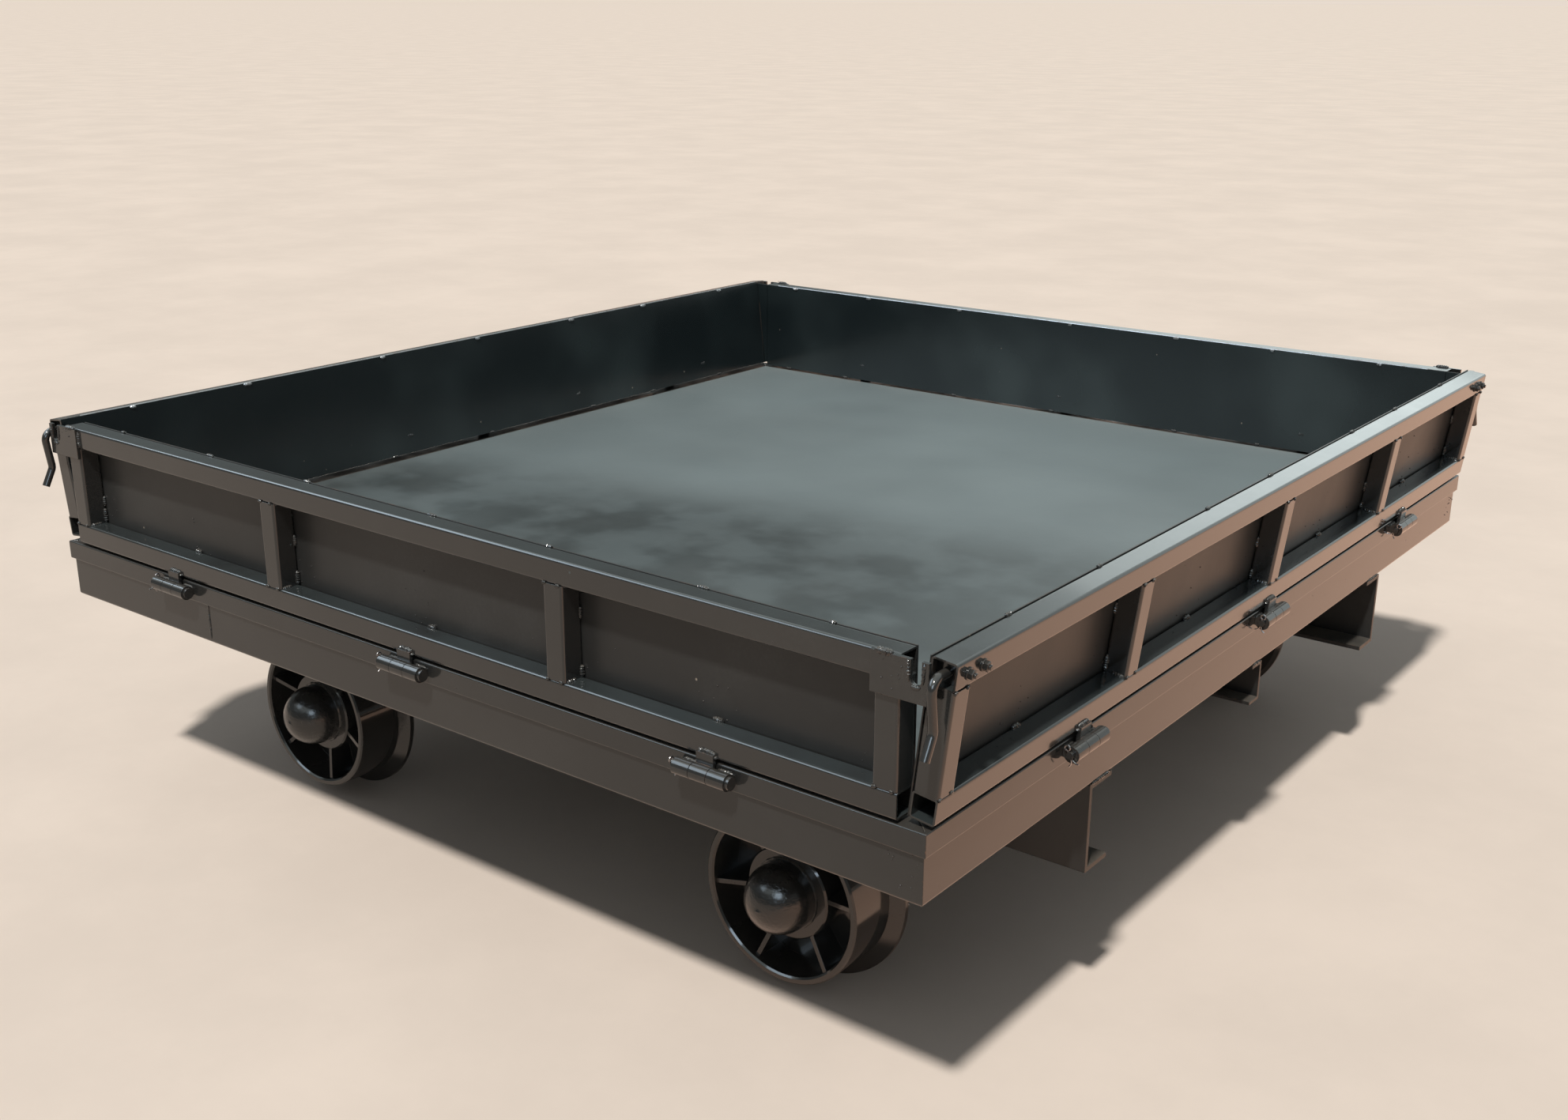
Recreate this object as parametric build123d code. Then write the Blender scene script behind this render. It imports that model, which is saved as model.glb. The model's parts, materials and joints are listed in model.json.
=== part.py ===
"""Rail trolley with a flat deck and four drop sides, in millimetres.

+X runs along the track towards the front end, +Y is the far side and +Z is up.
The origin is on the floor under the deck's middle. The wheel flanges stand on z = 0.
"""
import math
import os

from build123d import *

os.makedirs("parts", exist_ok=True)

# Deck and skirt frame
DECK_LENGTH = 2000.0
DECK_WIDTH = 2200.0
PLATE = 6.0
SKIRT_DEPTH = 106.0
SKIRT_FLANGE = 45.0
SKIRT_WALL = 5.0
SKIRT_BEND = 6.0
RIM_DROP = 36.0
RIM_LEG = 40.0
RIM_WALL = 6.0
RIM_ROUND = 2.5

# Underframe
BEAM_DEPTH = 150.0
BEAM_FLANGE = 70.0
BEAM_WALL = 8.0
BEAM_ROUND = 2.0
BEAM_CLEARANCE = 122.0
CENTRE_DEPTH = 76.0
CENTRE_FLANGE = 40.0
CENTRE_WALL = 6.0
BEARER_SPACING = 520.0
BEARER_WIDTH = 50.0

# Wheelsets
TREAD_RADIUS = 150.0
FLANGE_RADIUS = 175.0
WHEEL_WIDTH = 118.0
FLANGE_WIDTH = 26.0
RIM_THICKNESS = 13.0
WEB_THICKNESS = 14.0
WEB_INSET = 66.0
RIB_COUNT = 6
RIB_THICKNESS = 8.0
RIB_INSET = 9.0
RIB_BITE = 4.0
WHEEL_EDGE = 3.0
HUB_RADIUS = 80.0
HUB_INSET = 20.0
CAP_RADIUS = 59.0
CAP_HEIGHT = 76.0
CAP_WALL = 5.0
CAP_LAND = 20.0
AXLE_RADIUS = 30.0
AXLE_STUB = 12.0
WHEELBASE = 1178.0
WHEEL_TRACK = 1750.0
AXLE_DROP = 79.0
BOX_RADIUS = 54.0
BOX_WIDTH = 64.0
BOX_BASE_LENGTH = 210.0
BOX_BASE_THICKNESS = 18.0
BOX_NECK = 84.0
RUNNING_CLEARANCE = 0.3

# Drop-side panels
PANEL_HEIGHT = 233.5
PANEL_GAP = 5.5
PANEL_OUT = 8.0
TUBE = 40.0
TUBE_WALL = 3.0
TUBE_CORNER = 5.0
SKIN = 2.0
END_LEAN = 6.8
SIDE_END_GAP = 40.0
SIDE_INNER_POSTS = 686.0
END_CUT_BACK = 5.0
END_INNER_POSTS = 1100.0

# Barrel hinges
BARREL_RADIUS = 13.0
BARREL_LENGTH = 96.0
BARREL_OUT = 20.0
BARREL_DROP = 16.0
KNUCKLE_GAP = 1.0
PIN_RADIUS = 6.0
PIN_HEAD_RADIUS = 10.0
PIN_HEAD = 6.0
TAB_WALL = 6.0
TAB_RISE = 8.0
SIDE_HINGES = 1280.0
END_HINGES = 1390.0

# Corner latches
LATCH_PLATE_WALL = 6.0
LATCH_PLATE_HEIGHT = 58.0
LATCH_PLATE_LENGTH = 89.0
LATCH_SLOT = 17.0
LATCH_SLOT_DEPTH = 34.0
ROD_RADIUS = 7.0
ROD_REACH = 28.0
ROD_HANDLE = 72.0
ROD_TAIL = 34.0
ROD_BOW = 9.0
ROD_BEND = 18.0
GUIDE_LENGTH = 70.0
GUIDE_INSET = 14.0
STOP_CLEARANCE = 2.0

# Heights and half sizes that follow from the values above
AXLE_Z = FLANGE_RADIUS
BEAM_Z = AXLE_Z + AXLE_DROP
SKIRT_Z = BEAM_Z + BEAM_DEPTH
DECK_Z = SKIRT_Z + SKIRT_DEPTH + PLATE
HINGE_Z = DECK_Z - BARREL_DROP
PANEL_Z = DECK_Z + PANEL_GAP
RAIL_Z = PANEL_Z + PANEL_HEIGHT - TUBE / 2
BEAM_SPREAD = WHEEL_TRACK - 2 * (WHEEL_WIDTH + BEAM_CLEARANCE)
HALF_LENGTH = DECK_LENGTH / 2
HALF_WIDTH = DECK_WIDTH / 2
ROD_X = HALF_LENGTH + PANEL_OUT - TUBE / 2


def save(node, shape):
    """Write one piece, or a group of like pieces, to its own file."""
    export_step(shape, f"parts/{node}.step")


def block(x_range, y_range, z_range):
    """A box between pairs of coordinates."""
    sizes = [abs(pair[1] - pair[0]) for pair in (x_range, y_range, z_range)]
    middle = [(pair[0] + pair[1]) / 2 for pair in (x_range, y_range, z_range)]
    return Pos(*middle) * Box(*sizes)


def bar_along_x(x_range, radius, y, z):
    """A round bar parallel to X."""
    bar = Cylinder(radius, abs(x_range[1] - x_range[0]), rotation=(0, 90, 0))
    return Pos((x_range[0] + x_range[1]) / 2, y, z) * bar


def tube(length, axis):
    """Square hollow section, centred on the origin, along X or Z."""
    outer = RectangleRounded(TUBE, TUBE, TUBE_CORNER)
    bore = RectangleRounded(TUBE - 2 * TUBE_WALL, TUBE - 2 * TUBE_WALL, TUBE_CORNER - TUBE_WALL)
    bar = Pos(0, 0, -length / 2) * extrude(outer - bore, length)
    return Rot(0, 90, 0) * bar if axis == "x" else bar


def channel(length, depth, flange, wall, bend):
    """Channel along X: its web's outer face is on y = 0, its top on z = 0, its flanges reach to +Y."""
    span = (-length / 2, length / 2)
    section = block(span, (0, flange), (-depth, 0)) - block(span, (wall, flange), (wall - depth, -wall))
    corners = section.edges().filter_by(Axis.X).group_by(Axis.Y)[0]
    return fillet(corners, bend)


def mitred(shape, length, outside, inside, depth):
    """Cut both ends of a frame member at 45 degrees, where `length` is its size along y = 0."""
    half = length / 2
    outline = Polygon((-half - outside, -outside), (half + outside, -outside), (half - inside, inside),
                      (inside - half, inside), align=None)
    return shape & (Pos(0, 0, -depth) * extrude(outline, 2 * depth))


def turned(shape, angle):
    """A piece made for the near side, turned about the middle to another side."""
    return Rot(0, 0, angle) * shape


# Deck, skirt channels and rim angles
def build_deck():
    """Deck plate inside the rim, skirt channels below it and rim angles around it."""
    rim_inside = RIM_LEG - RIM_WALL
    save("deck_plate", block((rim_inside - HALF_LENGTH, HALF_LENGTH - rim_inside),
                             (rim_inside - HALF_WIDTH, HALF_WIDTH - rim_inside), (DECK_Z - PLATE, DECK_Z)))
    skirt_top = SKIRT_Z + SKIRT_DEPTH
    # columns: name, turn, length of that side, distance of the web from the middle
    rows = [
        ("near", 0, DECK_LENGTH, HALF_WIDTH),
        ("far", 180, DECK_LENGTH, HALF_WIDTH),
        ("front", 90, DECK_WIDTH, HALF_LENGTH),
        ("rear", -90, DECK_WIDTH, HALF_LENGTH),
    ]
    for name, turn, length, out in rows:
        skirt = mitred(channel(length, SKIRT_DEPTH, SKIRT_FLANGE, SKIRT_WALL, SKIRT_BEND), length, 0,
                       SKIRT_FLANGE, SKIRT_DEPTH)
        save(f"skirt_{name}", turned(Pos(0, -out, skirt_top) * skirt, turn))
        span = (-length, length)
        ledge = block(span, (-RIM_WALL, rim_inside), (0, PLATE))
        angle = ledge + block(span, (-RIM_WALL, 0), (PLATE - RIM_DROP, 0))
        outer_edges = angle.edges().filter_by(Axis.X).group_by(Axis.Y)[0]
        rim = mitred(fillet(outer_edges, RIM_ROUND), length, RIM_WALL, rim_inside, RIM_DROP)
        save(f"rim_{name}", turned(Pos(0, -out, skirt_top) * rim, turn))


# Longitudinal beams and cross bearers
def build_underframe():
    """Two main channels and a small centre channel under the skirt, with bearers across."""
    half_spread = BEAM_SPREAD / 2
    main = channel(DECK_LENGTH, BEAM_DEPTH, BEAM_FLANGE, BEAM_WALL, BEAM_ROUND)
    save("main_beam_near", Pos(0, -half_spread, SKIRT_Z) * main)
    save("main_beam_far", turned(Pos(0, -half_spread, SKIRT_Z) * main, 180))
    centre = channel(DECK_LENGTH, CENTRE_DEPTH, CENTRE_FLANGE, CENTRE_WALL, BEAM_ROUND)
    save("centre_beam", turned(Pos(0, -CENTRE_FLANGE / 2, SKIRT_Z) * centre, 180))
    length = DECK_WIDTH - 2 * SKIRT_FLANGE
    bearer = Rot(0, 0, 90) * channel(length, SKIRT_DEPTH, BEARER_WIDTH, SKIRT_WALL, SKIRT_BEND)
    places = [(step * BEARER_SPACING + BEARER_WIDTH / 2, 0, SKIRT_Z + SKIRT_DEPTH) for step in (-1, 0, 1)]
    save("cross_bearers", Compound([Pos(*place) * bearer for place in places]))


# Wheelsets and axle boxes
def wheel():
    """Flanged wheel about Y, its open ribbed face on y = 0 and its flange towards +Y."""
    inner = TREAD_RADIUS - RIM_THICKNESS
    web_end = WEB_INSET + WEB_THICKNESS
    flange_start = WHEEL_WIDTH - FLANGE_WIDTH
    lip = FLANGE_WIDTH / 3
    with BuildPart() as casting:
        with BuildSketch(Plane.XY):
            with BuildLine():
                Polyline((AXLE_RADIUS, HUB_INSET), (HUB_RADIUS - WHEEL_EDGE, HUB_INSET),
                         (HUB_RADIUS, HUB_INSET + WHEEL_EDGE), (HUB_RADIUS, WEB_INSET), (inner, WEB_INSET),
                         (inner, WHEEL_EDGE), (inner + WHEEL_EDGE, 0), (TREAD_RADIUS - WHEEL_EDGE, 0),
                         (TREAD_RADIUS, WHEEL_EDGE), (TREAD_RADIUS, flange_start),
                         (FLANGE_RADIUS, flange_start + lip), (FLANGE_RADIUS, WHEEL_WIDTH - lip),
                         (FLANGE_RADIUS - lip, WHEEL_WIDTH), (inner, WHEEL_WIDTH), (inner, web_end),
                         (HUB_RADIUS, web_end), (HUB_RADIUS, WHEEL_WIDTH), (AXLE_RADIUS, WHEEL_WIDTH),
                         close=True)
            make_face()
        revolve(axis=Axis.Y)
    root, tip, foot = HUB_RADIUS - RIB_BITE, inner + RIB_BITE, WEB_INSET + RIB_BITE
    with BuildPart() as rib:
        with BuildSketch(Plane.XY):
            with BuildLine():
                Polyline((root, HUB_INSET + WHEEL_EDGE), (tip, RIB_INSET), (tip, foot), (root, foot), close=True)
            make_face()
        extrude(amount=RIB_THICKNESS / 2, both=True)
    shape = casting.part
    for index in range(RIB_COUNT):
        shape = shape + Rot(0, index * 360 / RIB_COUNT, 0) * rib.part
    return shape


def hub_cap():
    """Hollow domed cap about Y, seated on the hub's face at y = 0 and bulging towards -Y."""
    with BuildPart() as dome:
        for radius, height in ((CAP_RADIUS, CAP_HEIGHT), (CAP_RADIUS - CAP_WALL, CAP_HEIGHT - CAP_WALL)):
            rise = height - CAP_LAND
            crown = (radius ** 2 + rise ** 2) / (2 * rise)
            half_way = math.asin(min(radius / crown, 1)) / 2
            shoulder = (radius, -CAP_LAND)
            bulge = (crown * math.sin(half_way), crown - height - crown * math.cos(half_way))
            with BuildSketch(Plane.XY):
                with BuildLine():
                    Polyline((0, -height), (0, 0), (radius, 0), shoulder)
                    ThreePointArc(shoulder, bulge, (0, -height))
                make_face()
            revolve(axis=Axis.Y, mode=Mode.ADD if radius == CAP_RADIUS else Mode.SUBTRACT)
    return dome.part


def axle_box():
    """Bearing block hung under a beam, bored along Y, its seat on z = AXLE_DROP above the bore."""
    ring = Cylinder(BOX_RADIUS, BOX_WIDTH, rotation=(90, 0, 0))
    neck = block((-BOX_NECK / 2, BOX_NECK / 2), (-BOX_WIDTH / 2, BOX_WIDTH / 2), (0, AXLE_DROP))
    base = block((-BOX_BASE_LENGTH / 2, BOX_BASE_LENGTH / 2), (-BOX_WIDTH / 2, BOX_WIDTH / 2),
                 (AXLE_DROP - BOX_BASE_THICKNESS, AXLE_DROP))
    bore = Cylinder(AXLE_RADIUS + RUNNING_CLEARANCE, 2 * BOX_WIDTH, rotation=(90, 0, 0))
    return ring + neck + base - bore


def build_running_gear():
    """Two wheelsets, each an axle with its wheels and caps, in boxes under the main beams."""
    face = WHEEL_TRACK / 2
    hub_face = face - HUB_INSET
    # columns: name, place along the track, turn at which the wheelset stands
    for name, x, roll in (("front", WHEELBASE / 2, 172), ("rear", -WHEELBASE / 2, -162)):
        centre = Pos(x, 0, AXLE_Z) * Rot(0, roll, 0)
        half_axle = hub_face + AXLE_STUB
        save(f"axle_{name}", centre * Cylinder(AXLE_RADIUS, 2 * half_axle, rotation=(90, 0, 0)))
        for side, turn in (("near", 0), ("far", 180)):
            save(f"wheel_{name}_{side}", centre * turned(Pos(0, -face, 0) * wheel(), turn))
        caps = [centre * turned(Pos(0, -hub_face, 0) * hub_cap(), turn) for turn in (0, 180)]
        save(f"hub_caps_{name}", Compound(caps))
        box_y = BEAM_SPREAD / 2 - BEAM_FLANGE / 2
        boxes = [Pos(x, y, AXLE_Z) * axle_box() for y in (-box_y, box_y)]
        save(f"axle_boxes_{name}", Compound(boxes))


# Hinges
def hinge_places(spacing):
    """Middles of the three hinges along a side."""
    return [-spacing / 2, 0.0, spacing / 2]


def knuckle_length():
    """Length of one of a barrel's three knuckles."""
    return (BARREL_LENGTH - 2 * KNUCKLE_GAP) / 3


def fixed_knuckles(middle, axis_y):
    """The two outer knuckles of a hinge, each on a pad against the rim."""
    length = knuckle_length()
    pieces = []
    for side in (-1, 1):
        start = middle + side * (length / 2 + KNUCKLE_GAP)
        span = (start, start + side * length)
        barrel = bar_along_x(span, BARREL_RADIUS, axis_y, HINGE_Z)
        pad = block(span, (axis_y, axis_y + BARREL_OUT - RIM_WALL),
                    (HINGE_Z - BARREL_RADIUS / 2, HINGE_Z + BARREL_RADIUS / 2))
        bore = bar_along_x(span, PIN_RADIUS + RUNNING_CLEARANCE, axis_y, HINGE_Z)
        pieces.append(barrel + pad - bore)
    return pieces


def hinge_pin(middle, axis_y):
    """Pin through the three knuckles, with a head at one end."""
    half = BARREL_LENGTH / 2
    shank = bar_along_x((middle - half - PIN_HEAD, middle + half), PIN_RADIUS, axis_y, HINGE_Z)
    head = bar_along_x((middle + half, middle + half + PIN_HEAD), PIN_HEAD_RADIUS, axis_y, HINGE_Z)
    return shank + head


def hinge_tab(middle, axis_y):
    """The panel's own knuckle with the tab that carries it up to the bottom rail."""
    length = knuckle_length()
    span = (middle - length / 2, middle + length / 2)
    face_y = axis_y + BARREL_OUT - PANEL_OUT
    barrel = bar_along_x(span, BARREL_RADIUS, axis_y, HINGE_Z)
    tab = block(span, (face_y - TAB_WALL, face_y), (HINGE_Z, PANEL_Z + TAB_RISE))
    bore = bar_along_x(span, PIN_RADIUS + RUNNING_CLEARANCE, axis_y, HINGE_Z)
    return barrel + tab - bore


# Panels
def post_places(end, inner):
    """Middles of a panel's two end posts and of the two between them."""
    return [-end, -inner / 2, inner / 2, end]


def panel_frame(half, posts, out):
    """Rails, posts and inner skin of a panel on the near side, `out` from the middle."""
    middle_y = -out - PANEL_OUT + TUBE / 2
    low = PANEL_Z + TUBE / 2
    post_length = PANEL_HEIGHT - 2 * TUBE
    post_z = PANEL_Z + PANEL_HEIGHT / 2
    inside = middle_y + TUBE / 2
    return {
        "top_rail": Pos(0, middle_y, RAIL_Z) * tube(2 * half, "x"),
        "bottom_rail": Pos(0, middle_y, low) * tube(2 * half, "x"),
        "posts": Compound([Pos(x, middle_y, post_z) * tube(post_length, "z") for x in posts]),
        "skin": block((-half, half), (inside, inside + SKIN), (PANEL_Z, PANEL_Z + PANEL_HEIGHT)),
    }


def latch_plate(side):
    """Flat plate on a side panel's top rail, with an open slot past the rail's end and a horn beyond."""
    face_y = -HALF_WIDTH - PANEL_OUT
    top = PANEL_Z + PANEL_HEIGHT
    lean = math.radians(END_LEAN)
    arm_x = ROD_X - HALF_LENGTH - BARREL_OUT
    arm_z = RAIL_Z - HINGE_Z
    leaning_x = HALF_LENGTH + BARREL_OUT + arm_x * math.cos(lean) + arm_z * math.sin(lean)
    end = leaning_x - ROD_RADIUS - STOP_CLEARANCE
    plate = block((end - LATCH_PLATE_LENGTH, end), (face_y - LATCH_PLATE_WALL, face_y),
                  (top - LATCH_PLATE_HEIGHT, top))
    slot_end = top - LATCH_SLOT_DEPTH + LATCH_SLOT / 2
    slot = block((ROD_X - LATCH_SLOT / 2, ROD_X + LATCH_SLOT / 2), (face_y - TUBE, face_y + TUBE),
                 (slot_end, top + TUBE))
    round_end = Pos(ROD_X, face_y, slot_end) * Cylinder(LATCH_SLOT / 2, 2 * TUBE, rotation=(90, 0, 0))
    plate = plate - slot - round_end
    return plate if side > 0 else mirror(plate, about=Plane.YZ)


def latch_rod(side, rail_half):
    """Bent round bar: a shank out of the end panel's top rail, then a handle that hangs plumb."""
    middle_y = -HALF_LENGTH - PANEL_OUT + TUBE / 2
    start = rail_half - GUIDE_INSET - GUIDE_LENGTH
    tip = rail_half + ROD_REACH
    with BuildPart() as bar:
        with BuildLine() as path:
            FilletPolyline((start, middle_y, RAIL_Z), (tip, middle_y, RAIL_Z),
                           (tip - ROD_BOW, middle_y, RAIL_Z - ROD_HANDLE),
                           (tip + ROD_BOW, middle_y, RAIL_Z - ROD_HANDLE - ROD_TAIL), radius=ROD_BEND)
        with BuildSketch(Plane(origin=path.line @ 0, z_dir=path.line % 0)):
            Circle(ROD_RADIUS)
        sweep(path=path.line)
    plumb = bar.part.rotate(Axis((0, middle_y, RAIL_Z), (1, 0, 0)), -END_LEAN)
    return plumb if side > 0 else mirror(plumb, about=Plane.YZ)


def latch_guide(side, rail_half):
    """Bored block inside an end panel's top rail, which carries the latch rod."""
    middle_y = -HALF_LENGTH - PANEL_OUT + TUBE / 2
    span = (rail_half - GUIDE_INSET - GUIDE_LENGTH, rail_half - GUIDE_INSET)
    width = TUBE / 2 - TUBE_WALL
    corner = TUBE_CORNER - TUBE_WALL
    body = extrude(Plane.YZ * RectangleRounded(2 * width, 2 * width, corner), GUIDE_LENGTH)
    body = Pos(span[0], middle_y, RAIL_Z) * body
    body = body - bar_along_x(span, ROD_RADIUS + RUNNING_CLEARANCE, middle_y, RAIL_Z)
    return body if side > 0 else mirror(body, about=Plane.YZ)


def build_side(name, turn):
    """One drop side, with its hinges and latch plates, on the near or far side."""
    axis_y = -HALF_WIDTH - BARREL_OUT
    post_half = HALF_LENGTH - SIDE_END_GAP
    posts = post_places(post_half - TUBE / 2, SIDE_INNER_POSTS)
    places = hinge_places(SIDE_HINGES)
    pieces = panel_frame(post_half, posts, HALF_WIDTH)
    pieces["hinge_tabs"] = Compound([hinge_tab(x, axis_y) for x in places])
    pieces["latch_plates"] = Compound([latch_plate(side) for side in (-1, 1)])
    for piece, shape in pieces.items():
        save(f"side_{name}_{piece}", turned(shape, turn))
    knuckles = [piece for x in places for piece in fixed_knuckles(x, axis_y)]
    save(f"hinge_knuckles_{name}", turned(Compound(knuckles), turn))
    save(f"hinge_pins_{name}", turned(Compound([hinge_pin(x, axis_y) for x in places]), turn))


def build_end(name, turn):
    """One end board, leaning out against the horns, with its hinges and latch rods."""
    axis_y = -HALF_LENGTH - BARREL_OUT
    rail_half = HALF_WIDTH - END_CUT_BACK
    edge = rail_half - TUBE / 2
    posts = post_places(edge, END_INNER_POSTS) + [0.0]
    places = hinge_places(END_HINGES)
    pieces = panel_frame(rail_half, posts, HALF_LENGTH)
    pieces["hinge_tabs"] = Compound([hinge_tab(x, axis_y) for x in places])
    pieces["latch_rods"] = Compound([latch_rod(side, rail_half) for side in (-1, 1)])
    pieces["latch_guides"] = Compound([latch_guide(side, rail_half) for side in (-1, 1)])
    hinge_axis = Axis((0, axis_y, HINGE_Z), (1, 0, 0))
    for piece, shape in pieces.items():
        save(f"end_{name}_{piece}", turned(shape.rotate(hinge_axis, END_LEAN), turn))
    knuckles = [piece for x in places for piece in fixed_knuckles(x, axis_y)]
    save(f"hinge_knuckles_{name}", turned(Compound(knuckles), turn))
    save(f"hinge_pins_{name}", turned(Compound([hinge_pin(x, axis_y) for x in places]), turn))


build_deck()
build_underframe()
build_running_gear()
for side_name, side_turn in (("near", 0), ("far", 180)):
    build_side(side_name, side_turn)
for end_name, end_turn in (("front", 90), ("rear", -90)):
    build_end(end_name, end_turn)
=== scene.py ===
import json
import math
import random
from collections import namedtuple

import bmesh
import bpy
from mathutils import Matrix, Vector


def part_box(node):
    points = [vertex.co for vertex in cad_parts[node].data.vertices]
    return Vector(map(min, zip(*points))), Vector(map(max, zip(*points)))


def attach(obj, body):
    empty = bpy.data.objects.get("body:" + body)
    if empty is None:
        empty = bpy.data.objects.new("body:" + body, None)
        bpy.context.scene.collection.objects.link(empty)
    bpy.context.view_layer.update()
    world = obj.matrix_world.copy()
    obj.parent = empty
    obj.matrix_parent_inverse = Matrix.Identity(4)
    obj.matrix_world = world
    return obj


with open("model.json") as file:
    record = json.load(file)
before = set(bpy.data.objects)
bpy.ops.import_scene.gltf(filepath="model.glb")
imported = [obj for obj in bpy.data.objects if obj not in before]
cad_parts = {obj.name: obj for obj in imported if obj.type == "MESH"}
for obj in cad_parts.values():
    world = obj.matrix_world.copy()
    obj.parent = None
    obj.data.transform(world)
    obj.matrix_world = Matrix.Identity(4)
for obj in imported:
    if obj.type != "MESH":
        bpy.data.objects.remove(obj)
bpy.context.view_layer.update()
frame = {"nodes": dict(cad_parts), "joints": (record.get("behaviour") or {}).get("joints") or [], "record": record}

bl_info = {
    "name": "Drop-side rail trolley",
    "version": (1, 0, 0),
    "blender": (4, 5, 0),
    "location": "View3D > Sidebar > Trolley",
    "description": "Paints the trolley's steelwork and adds its welds, bolts, lips, pins and studio",
    "category": "Object",
}

JOINTS = {joint["name"]: joint for joint in frame["joints"]}
SLOT_OF = {row["node"]: row["material_slot"] for row in frame["record"]["subparts"]}
HINGE_Z = JOINTS["side_near_drop"]["pos_m"][2]
END_LEAN = 180.0 - JOINTS["end_front_drop"]["range_deg"][1]
RAIL_LOW, RAIL_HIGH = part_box("side_near_bottom_rail")
TOP_LOW, TOP_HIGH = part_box("side_near_top_rail")
TUBE = TOP_HIGH.z - TOP_LOW.z
AXIS_TO_FACE = abs(JOINTS["side_near_drop"]["pos_m"][1]) - abs(TOP_LOW.y)
TAB_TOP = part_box("side_near_hinge_tabs")[1].z
SKIRT_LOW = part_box("skirt_near")[0]
RIM_LOW, RIM_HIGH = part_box("rim_near")

# Sizes of the steelwork, in metres
KNUCKLE = 0.0313
BARREL = 0.096
SKIN = 0.002
LATCH_PLATE = 0.089
LATCH_SLOT = 0.017
LATCH_SLOT_DEPTH = 0.034
SLOT_IN = 0.032
HUB_INSET = 0.020
BOX_WIDTH = 0.064
CORNER_IN = 0.020
SIDE_HALF, END_HALF = 0.960, 1.095
SIDE_POSTS = (-0.940, -0.343, 0.343, 0.940)
END_POSTS = (-1.075, -0.550, 0.0, 0.550, 1.075)
SIDE_HINGES = (-0.640, 0.0, 0.640)
END_HINGES = (-0.695, 0.0, 0.695)

# Turn is from the near side, in degrees. Half is half the length, and posts and hinges lie along it.
Board = namedtuple("Board", "body joint turn leans half posts hinges")
BOARDS = [
    Board("side_near", "side_near_drop", 0, False, SIDE_HALF, SIDE_POSTS, SIDE_HINGES),
    Board("side_far", "side_far_drop", 180, False, SIDE_HALF, SIDE_POSTS, SIDE_HINGES),
    Board("end_front", "end_front_drop", 90, True, END_HALF, END_POSTS, END_HINGES),
    Board("end_rear", "end_rear_drop", -90, True, END_HALF, END_POSTS, END_HINGES),
]

# Boards with a bright steel wire and tacks along the skin's top inner edge: a painted highlight for the light line
# that edge catches
HIGHLIGHT_EDGES = ("side_far", "end_rear")


def hinge_out(joint):
    """Distance of a board's hinge axis from the trolley's middle."""
    return max(abs(value) for value in JOINTS[joint]["pos_m"][:2])


def board_place(board, still=False):
    """Matrix from the near side's upright place to a board's own, or to the frame's if it stays still."""
    axis = Vector((0, -hinge_out(board.joint), HINGE_Z))
    lean = math.radians(END_LEAN) if board.leans and not still else 0.0
    tilt = Matrix.Translation(axis) @ Matrix.Rotation(lean, 4, "X") @ Matrix.Translation(-axis)
    return Matrix.Rotation(math.radians(board.turn), 4, "Z") @ tilt


def board_face(board):
    """Where a board's outer face lies across the trolley before the board is put in its place."""
    return -hinge_out(board.joint) + AXIS_TO_FACE


class TrolleyPaint(bpy.types.PropertyGroup):
    """Colours and gloss of the paint; some of its colours are painted shade, sheen and reflection."""

    enamel: bpy.props.FloatVectorProperty(
        name="Enamel", description="Black enamel of frame, boards and fittings", subtype="COLOR", size=4,
        default=(0.021, 0.0215, 0.0212, 1.0), min=0.0, max=1.0)
    cloud: bpy.props.FloatVectorProperty(
        name="Spray cloud", description="Paler dry spray in the enamel", subtype="COLOR", size=4,
        default=(0.042, 0.043, 0.042, 1.0), min=0.0, max=1.0)
    deck: bpy.props.FloatVectorProperty(
        name="Deck", description="Black enamel of the deck plate", subtype="COLOR", size=4,
        default=(0.013, 0.019, 0.020, 1.0), min=0.0, max=1.0)
    haze: bpy.props.FloatVectorProperty(
        name="Deck haze", description="Dry grey haze on the deck plate", subtype="COLOR", size=4,
        default=(0.174, 0.216, 0.226, 1.0), min=0.0, max=1.0)
    bare: bpy.props.FloatVectorProperty(
        name="Bare edge", description="Rusting steel where an edge is rubbed", subtype="COLOR", size=4,
        default=(0.23, 0.105, 0.05, 1.0), min=0.0, max=1.0)
    dust: bpy.props.FloatVectorProperty(
        name="Dust", description="Pale dust on what faces up", subtype="COLOR", size=4,
        default=(0.30, 0.26, 0.21, 1.0), min=0.0, max=1.0)
    # Painted shade with a teal painted reflection of the deck: colour of the boards' inside faces
    shaded_inside: bpy.props.FloatVectorProperty(
        name="Lining", description="Black enamel inside the boards", subtype="COLOR", size=4,
        default=(0.0068, 0.0115, 0.0130, 1.0), min=0.0, max=1.0)
    # Painted reflection: paler soft patches on the boards' inside faces
    reflection_patches: bpy.props.FloatVectorProperty(
        name="Lining mist", description="Paler spray on the inside of the boards", subtype="COLOR", size=4,
        default=(0.030, 0.042, 0.044, 1.0), min=0.0, max=1.0)
    grime: bpy.props.FloatVectorProperty(
        name="Grime", description="Dark grime on the frame's ledges", subtype="COLOR", size=4,
        default=(0.040, 0.036, 0.031, 1.0), min=0.0, max=1.0)
    # Painted sheen: blue-grey film on the boards' upward faces, for the sky they reflect
    painted_sheen: bpy.props.FloatVectorProperty(
        name="Bloom", description="Blue-grey bloom on the boards' ledges", subtype="COLOR", size=4,
        default=(0.120, 0.175, 0.185, 1.0), min=0.0, max=1.0)
    gloss: bpy.props.FloatProperty(
        name="Roughness", description="Roughness of the enamel", subtype="FACTOR", default=0.15, min=0.0,
        max=1.0)


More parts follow.
